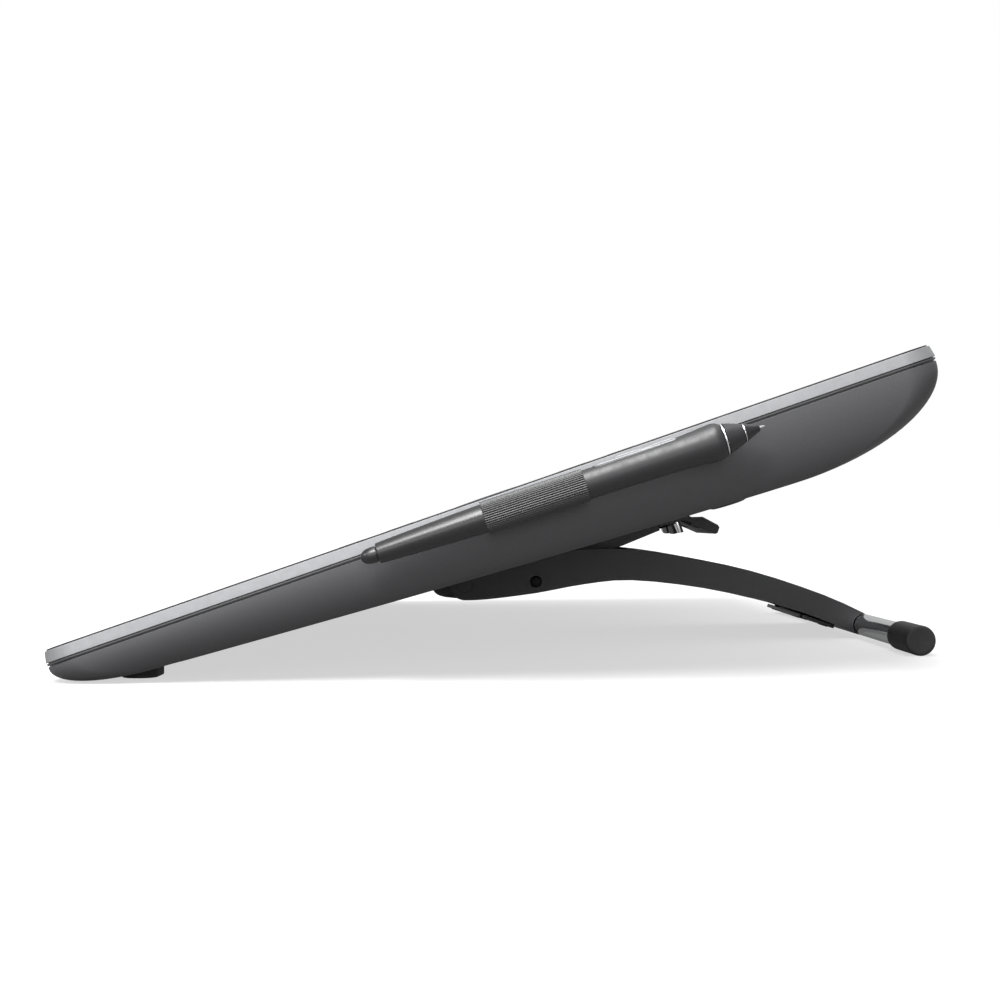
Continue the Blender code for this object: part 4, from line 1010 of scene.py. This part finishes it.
def make_arm_pieces():
    """The arm with its clamp plate, and a cross-head screw and a hinge plug in each side face."""
    settle(refined("stand_arm", "arched_arm", 0.7, 3), HERE, POWDER, "stand", ["stand_arm"])
    settle(refined("rod_clamp", "clamp_plate", 0.3), HERE, POWDER, "stand", ["rod_clamp"])
    screw_profile = [
        (0, 0.12), (1.9, 0.05), (2.6, -0.15), (2.95, -0.4), (2.95, -0.9), (1.5, -2.6), (1.5, -8.0), (0, -8.0),
    ]
    plug_profile = [(0, 0.0), (3.9, 0.0), (4.1, -0.15), (4.1, -0.5), (0, -0.5)]
    for side, name in ((1, "right"), (-1, "left")):
        screw = crossed(turned("arm_screw_" + name, screw_profile, 48), 1.9, 0.35, -1.2, 2, 0.15)
        moved(screw, Matrix.Translation((side * ARM_HALF, *SIDE_SCREW)), sideways(side))
        settle(screw, ARM, BLACK_OXIDE, "stand", ["arm_side_screw_" + name])
        plug = turned("hinge_plug_" + name, plug_profile, 48)
        moved(plug, Matrix.Translation((side * ARM_HALF, 0, 0)), sideways(side))
        settle(plug, ARM, POWDER, "stand")


def make_clamp_screws():
    """Low cross-head screws under the clamp plate."""
    low, high = (Vector(corner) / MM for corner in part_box("rod_clamp"))
    profile = [(0, 2.0), (1.5, 2.0), (1.5, -0.8), (2.7, -0.8), (2.8, -1.2), (2.6, -1.35), (0, -1.4)]
    plate_place = Matrix.Translation((low + high) / 2) @ Matrix.Rotation(CLAMP_SLOPE, 4, "X")
    for number, (x, y) in enumerate(CLAMP_SCREWS, 1):
        head = crossed(turned("clamp_screw_" + str(number), profile, 32), 1.5, 0.3, -3, -1.1)
        moved(head, plate_place, Matrix.Translation((x, y, 0)))
        settle(head, WORLD, BLACK_OXIDE, "stand")


def make_rod():
    """The polished cross rod, and its rubber caps with rolled rims."""
    low, high = (Vector(corner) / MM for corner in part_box("foot_rod"))
    middle = Matrix.Translation((low + high) / 2)
    half = ROD_HALF - 6
    profile = [(0, half), (ROD_R - 0.6, half), (ROD_R - 0.2, half - 0.2), (ROD_R, half - 0.6)]
    profile += [(radius, -z) for radius, z in reversed(profile)]
    rod = moved(turned("polished_rod", profile, 96), middle, sideways(1))
    settle(rod, WORLD, CHROME, "stand", ["foot_rod"])
    start = ROD_HALF - CAP_LENGTH
    cap = [
        (0, ROD_HALF - 0.25), (4.8, ROD_HALF - 0.2), (5.2, ROD_HALF), (CAP_R - 1.0, ROD_HALF),
        (CAP_R - 0.45, ROD_HALF - 0.2), (CAP_R - 0.12, ROD_HALF - 0.55), (CAP_R, ROD_HALF - 1.0),
        (CAP_R, start + 0.7), (CAP_R - 0.2, start + 0.25), (CAP_R - 0.6, start), (ROD_R + 0.1, start),
        (ROD_R + 0.1, ROD_HALF - 5), (0, ROD_HALF - 5),
    ]
    for side, name in ((1, "right"), (-1, "left")):
        piece = moved(turned("rod_cap_" + name, cap, 96), middle, sideways(side))
        settle(piece, WORLD, RUBBER, "stand", ["foot_cap_" + name])


def coat_inner_pieces():
    """Finishes of the CAD pieces inside, which show through gaps or when the stand is opened."""
    coat(ACTIVE_AREA, "lcd_panel")
    coat(GUIDE, "light_guide")
    coat(BOARD, "sensor_board", "key_board_right", "key_board_left", "main_board", "pen_board")
    coat(ZINC, "loop_anchor", "hinge_shaft", "lever_pin", "lever_spring", "pen_sensor")
    coat(RUBBER, "brake_shoe")
    coat(BLACK_OXIDE, "pull_rod")


# Floor, light and camera

def make_stage():
    """A pale floor that runs on to the horizon, and a white surround; both light the object only dimly. To
    the camera the floor glows, a painted light that brightens away from the object, and in reflections it
    glows faintly, a painted reflection.
    """
    deselect()
    bpy.ops.mesh.primitive_circle_add(vertices=64, radius=FLOOR_RADIUS, fill_type="NGON", location=(0, 0, 0))
    floor = bpy.context.object
    floor.name = "studio_floor"
    material, tree, shader = finish_named("white_paper_painted_glow", "#F0F0F0", 0.9)
    # Painted light: camera rays see the floor glow at FLOOR_GLOW near the object, rising to full glow at
    # FAR_FLOOR, so the far floor stays white where the lamps' light falls off. Glossy rays see a faint
    # painted glow of GLOSS_FLOOR. The camera also sees a paler base colour than bounce light does.
    path = add(tree, "ShaderNodeLightPath")
    seen = path.outputs["Is Camera Ray"]
    shade = add(tree, "ShaderNodeMapRange", {"Value": seen, "To Min": FLOOR_BOUNCE, "To Max": FLOOR_SHADE})
    tree.links.new(shade.outputs["Result"], shader.inputs["Base Color"])
    place = add(tree, "ShaderNodeTexCoord").outputs["Object"]
    reach = add(tree, "ShaderNodeVectorMath", {0: place}, operation="LENGTH").outputs["Value"]
    sockets = {"Value": reach, "From Min": NEAR_FLOOR, "From Max": FAR_FLOOR, "To Min": FLOOR_GLOW}
    glow = add(tree, "ShaderNodeMapRange", sockets).outputs["Result"]
    direct = add(tree, "ShaderNodeMath", {0: glow, 1: seen}, operation="MULTIPLY").outputs["Value"]
    mirrored = add(tree, "ShaderNodeMath", {0: path.outputs["Is Glossy Ray"], 1: GLOSS_FLOOR, 2: direct},
                   operation="MULTIPLY_ADD")
    strength = mirrored.outputs["Value"]
    shader.inputs["Emission Color"].default_value = (1.0, 1.0, 1.0, 1.0)
    tree.links.new(strength, shader.inputs["Emission Strength"])
    floor.data.materials.append(material)
    world = bpy.data.worlds.new("studio")
    bpy.context.scene.world = world
    world.use_nodes = True
    tree = world.node_tree
    path = add(tree, "ShaderNodeLightPath")
    level = add(tree, "ShaderNodeMapRange", {"Value": path.outputs["Is Camera Ray"], "To Min": SURROUND})
    sky = tree.nodes["Background"]
    sky.inputs["Color"].default_value = (1.0, 1.0, 1.0, 1.0)
    sockets = {0: path.outputs["Is Glossy Ray"], 1: GLOSS_SURROUND, 2: level.outputs["Result"]}
    total = add(tree, "ShaderNodeMath", sockets, operation="MULTIPLY_ADD")
    tree.links.new(total.outputs["Value"], sky.inputs["Strength"])


def add_lamp(name, place, aim, size, power):
    """A soft oblong lamp that faces a point."""
    lamp = bpy.data.lights.new(name, "AREA")
    lamp.shape = "RECTANGLE"
    lamp.size, lamp.size_y = size
    lamp.energy = power
    item = bpy.data.objects.new(name, lamp)
    bpy.context.scene.collection.objects.link(item)
    item.location = place
    item.rotation_euler = (Vector(aim) - Vector(place)).to_track_quat("-Z", "Y").to_euler()


def make_light():
    """A long softbox high on the right, weaker ones in front and low down, and two behind and above."""
    add_lamp("side_softbox", (1.05, -0.35, 1.55), (0.3, -0.05, 0.06), (0.5, 1.7), 78)
    add_lamp("front_softbox", (1.1, -1.5, 0.8), (0.2, -0.1, 0.05), (0.9, 0.6), 12)
    add_lamp("low_softbox", (2.2, -0.2, 0.45), (0.2, 0.0, 0.06), (1.6, 0.7), 11)
    add_lamp("top_softbox", (-0.3, 0.1, 1.9), (0, 0, 0), (1.8, 2.0), 10)
    add_lamp("rear_softbox", (-1.2, 1.1, 1.2), (0, 0, 0.05), (1.0, 1.0), 4)


def make_camera():
    """Level, square to the right side, close enough for its perspective to show."""
    lens = bpy.data.cameras.new("camera")
    lens.lens = 57.67
    lens.sensor_width = 36.0
    lens.shift_y = 0.022
    lens.clip_start = 0.01
    camera = bpy.data.objects.new("camera", lens)
    bpy.context.scene.collection.objects.link(camera)
    camera.location = (0.92435, -0.01278, 0.0630)
    camera.rotation_euler = (math.radians(90), 0, math.radians(90))
    bpy.context.scene.camera = camera


def main():
    bpy.context.scene.view_settings.view_transform = "Standard"
    make_camera()
    make_stage()
    make_light()
    make_frame_strip()
    make_chassis_lip()
    make_glass()
    make_rear_cover()
    make_cover_screws()
    make_port_tray()
    make_sockets()
    make_side_panels()
    make_express_keys()
    make_touch_dials()
    make_power_cap()
    make_front_pads()
    make_rear_bumpers()
    make_elastic_loop()
    make_pen()
    make_pen_rocker()
    make_mount_pieces()
    make_lever_pieces()
    make_arm_pieces()
    make_clamp_screws()
    make_rod()
    coat_inner_pieces()


main()
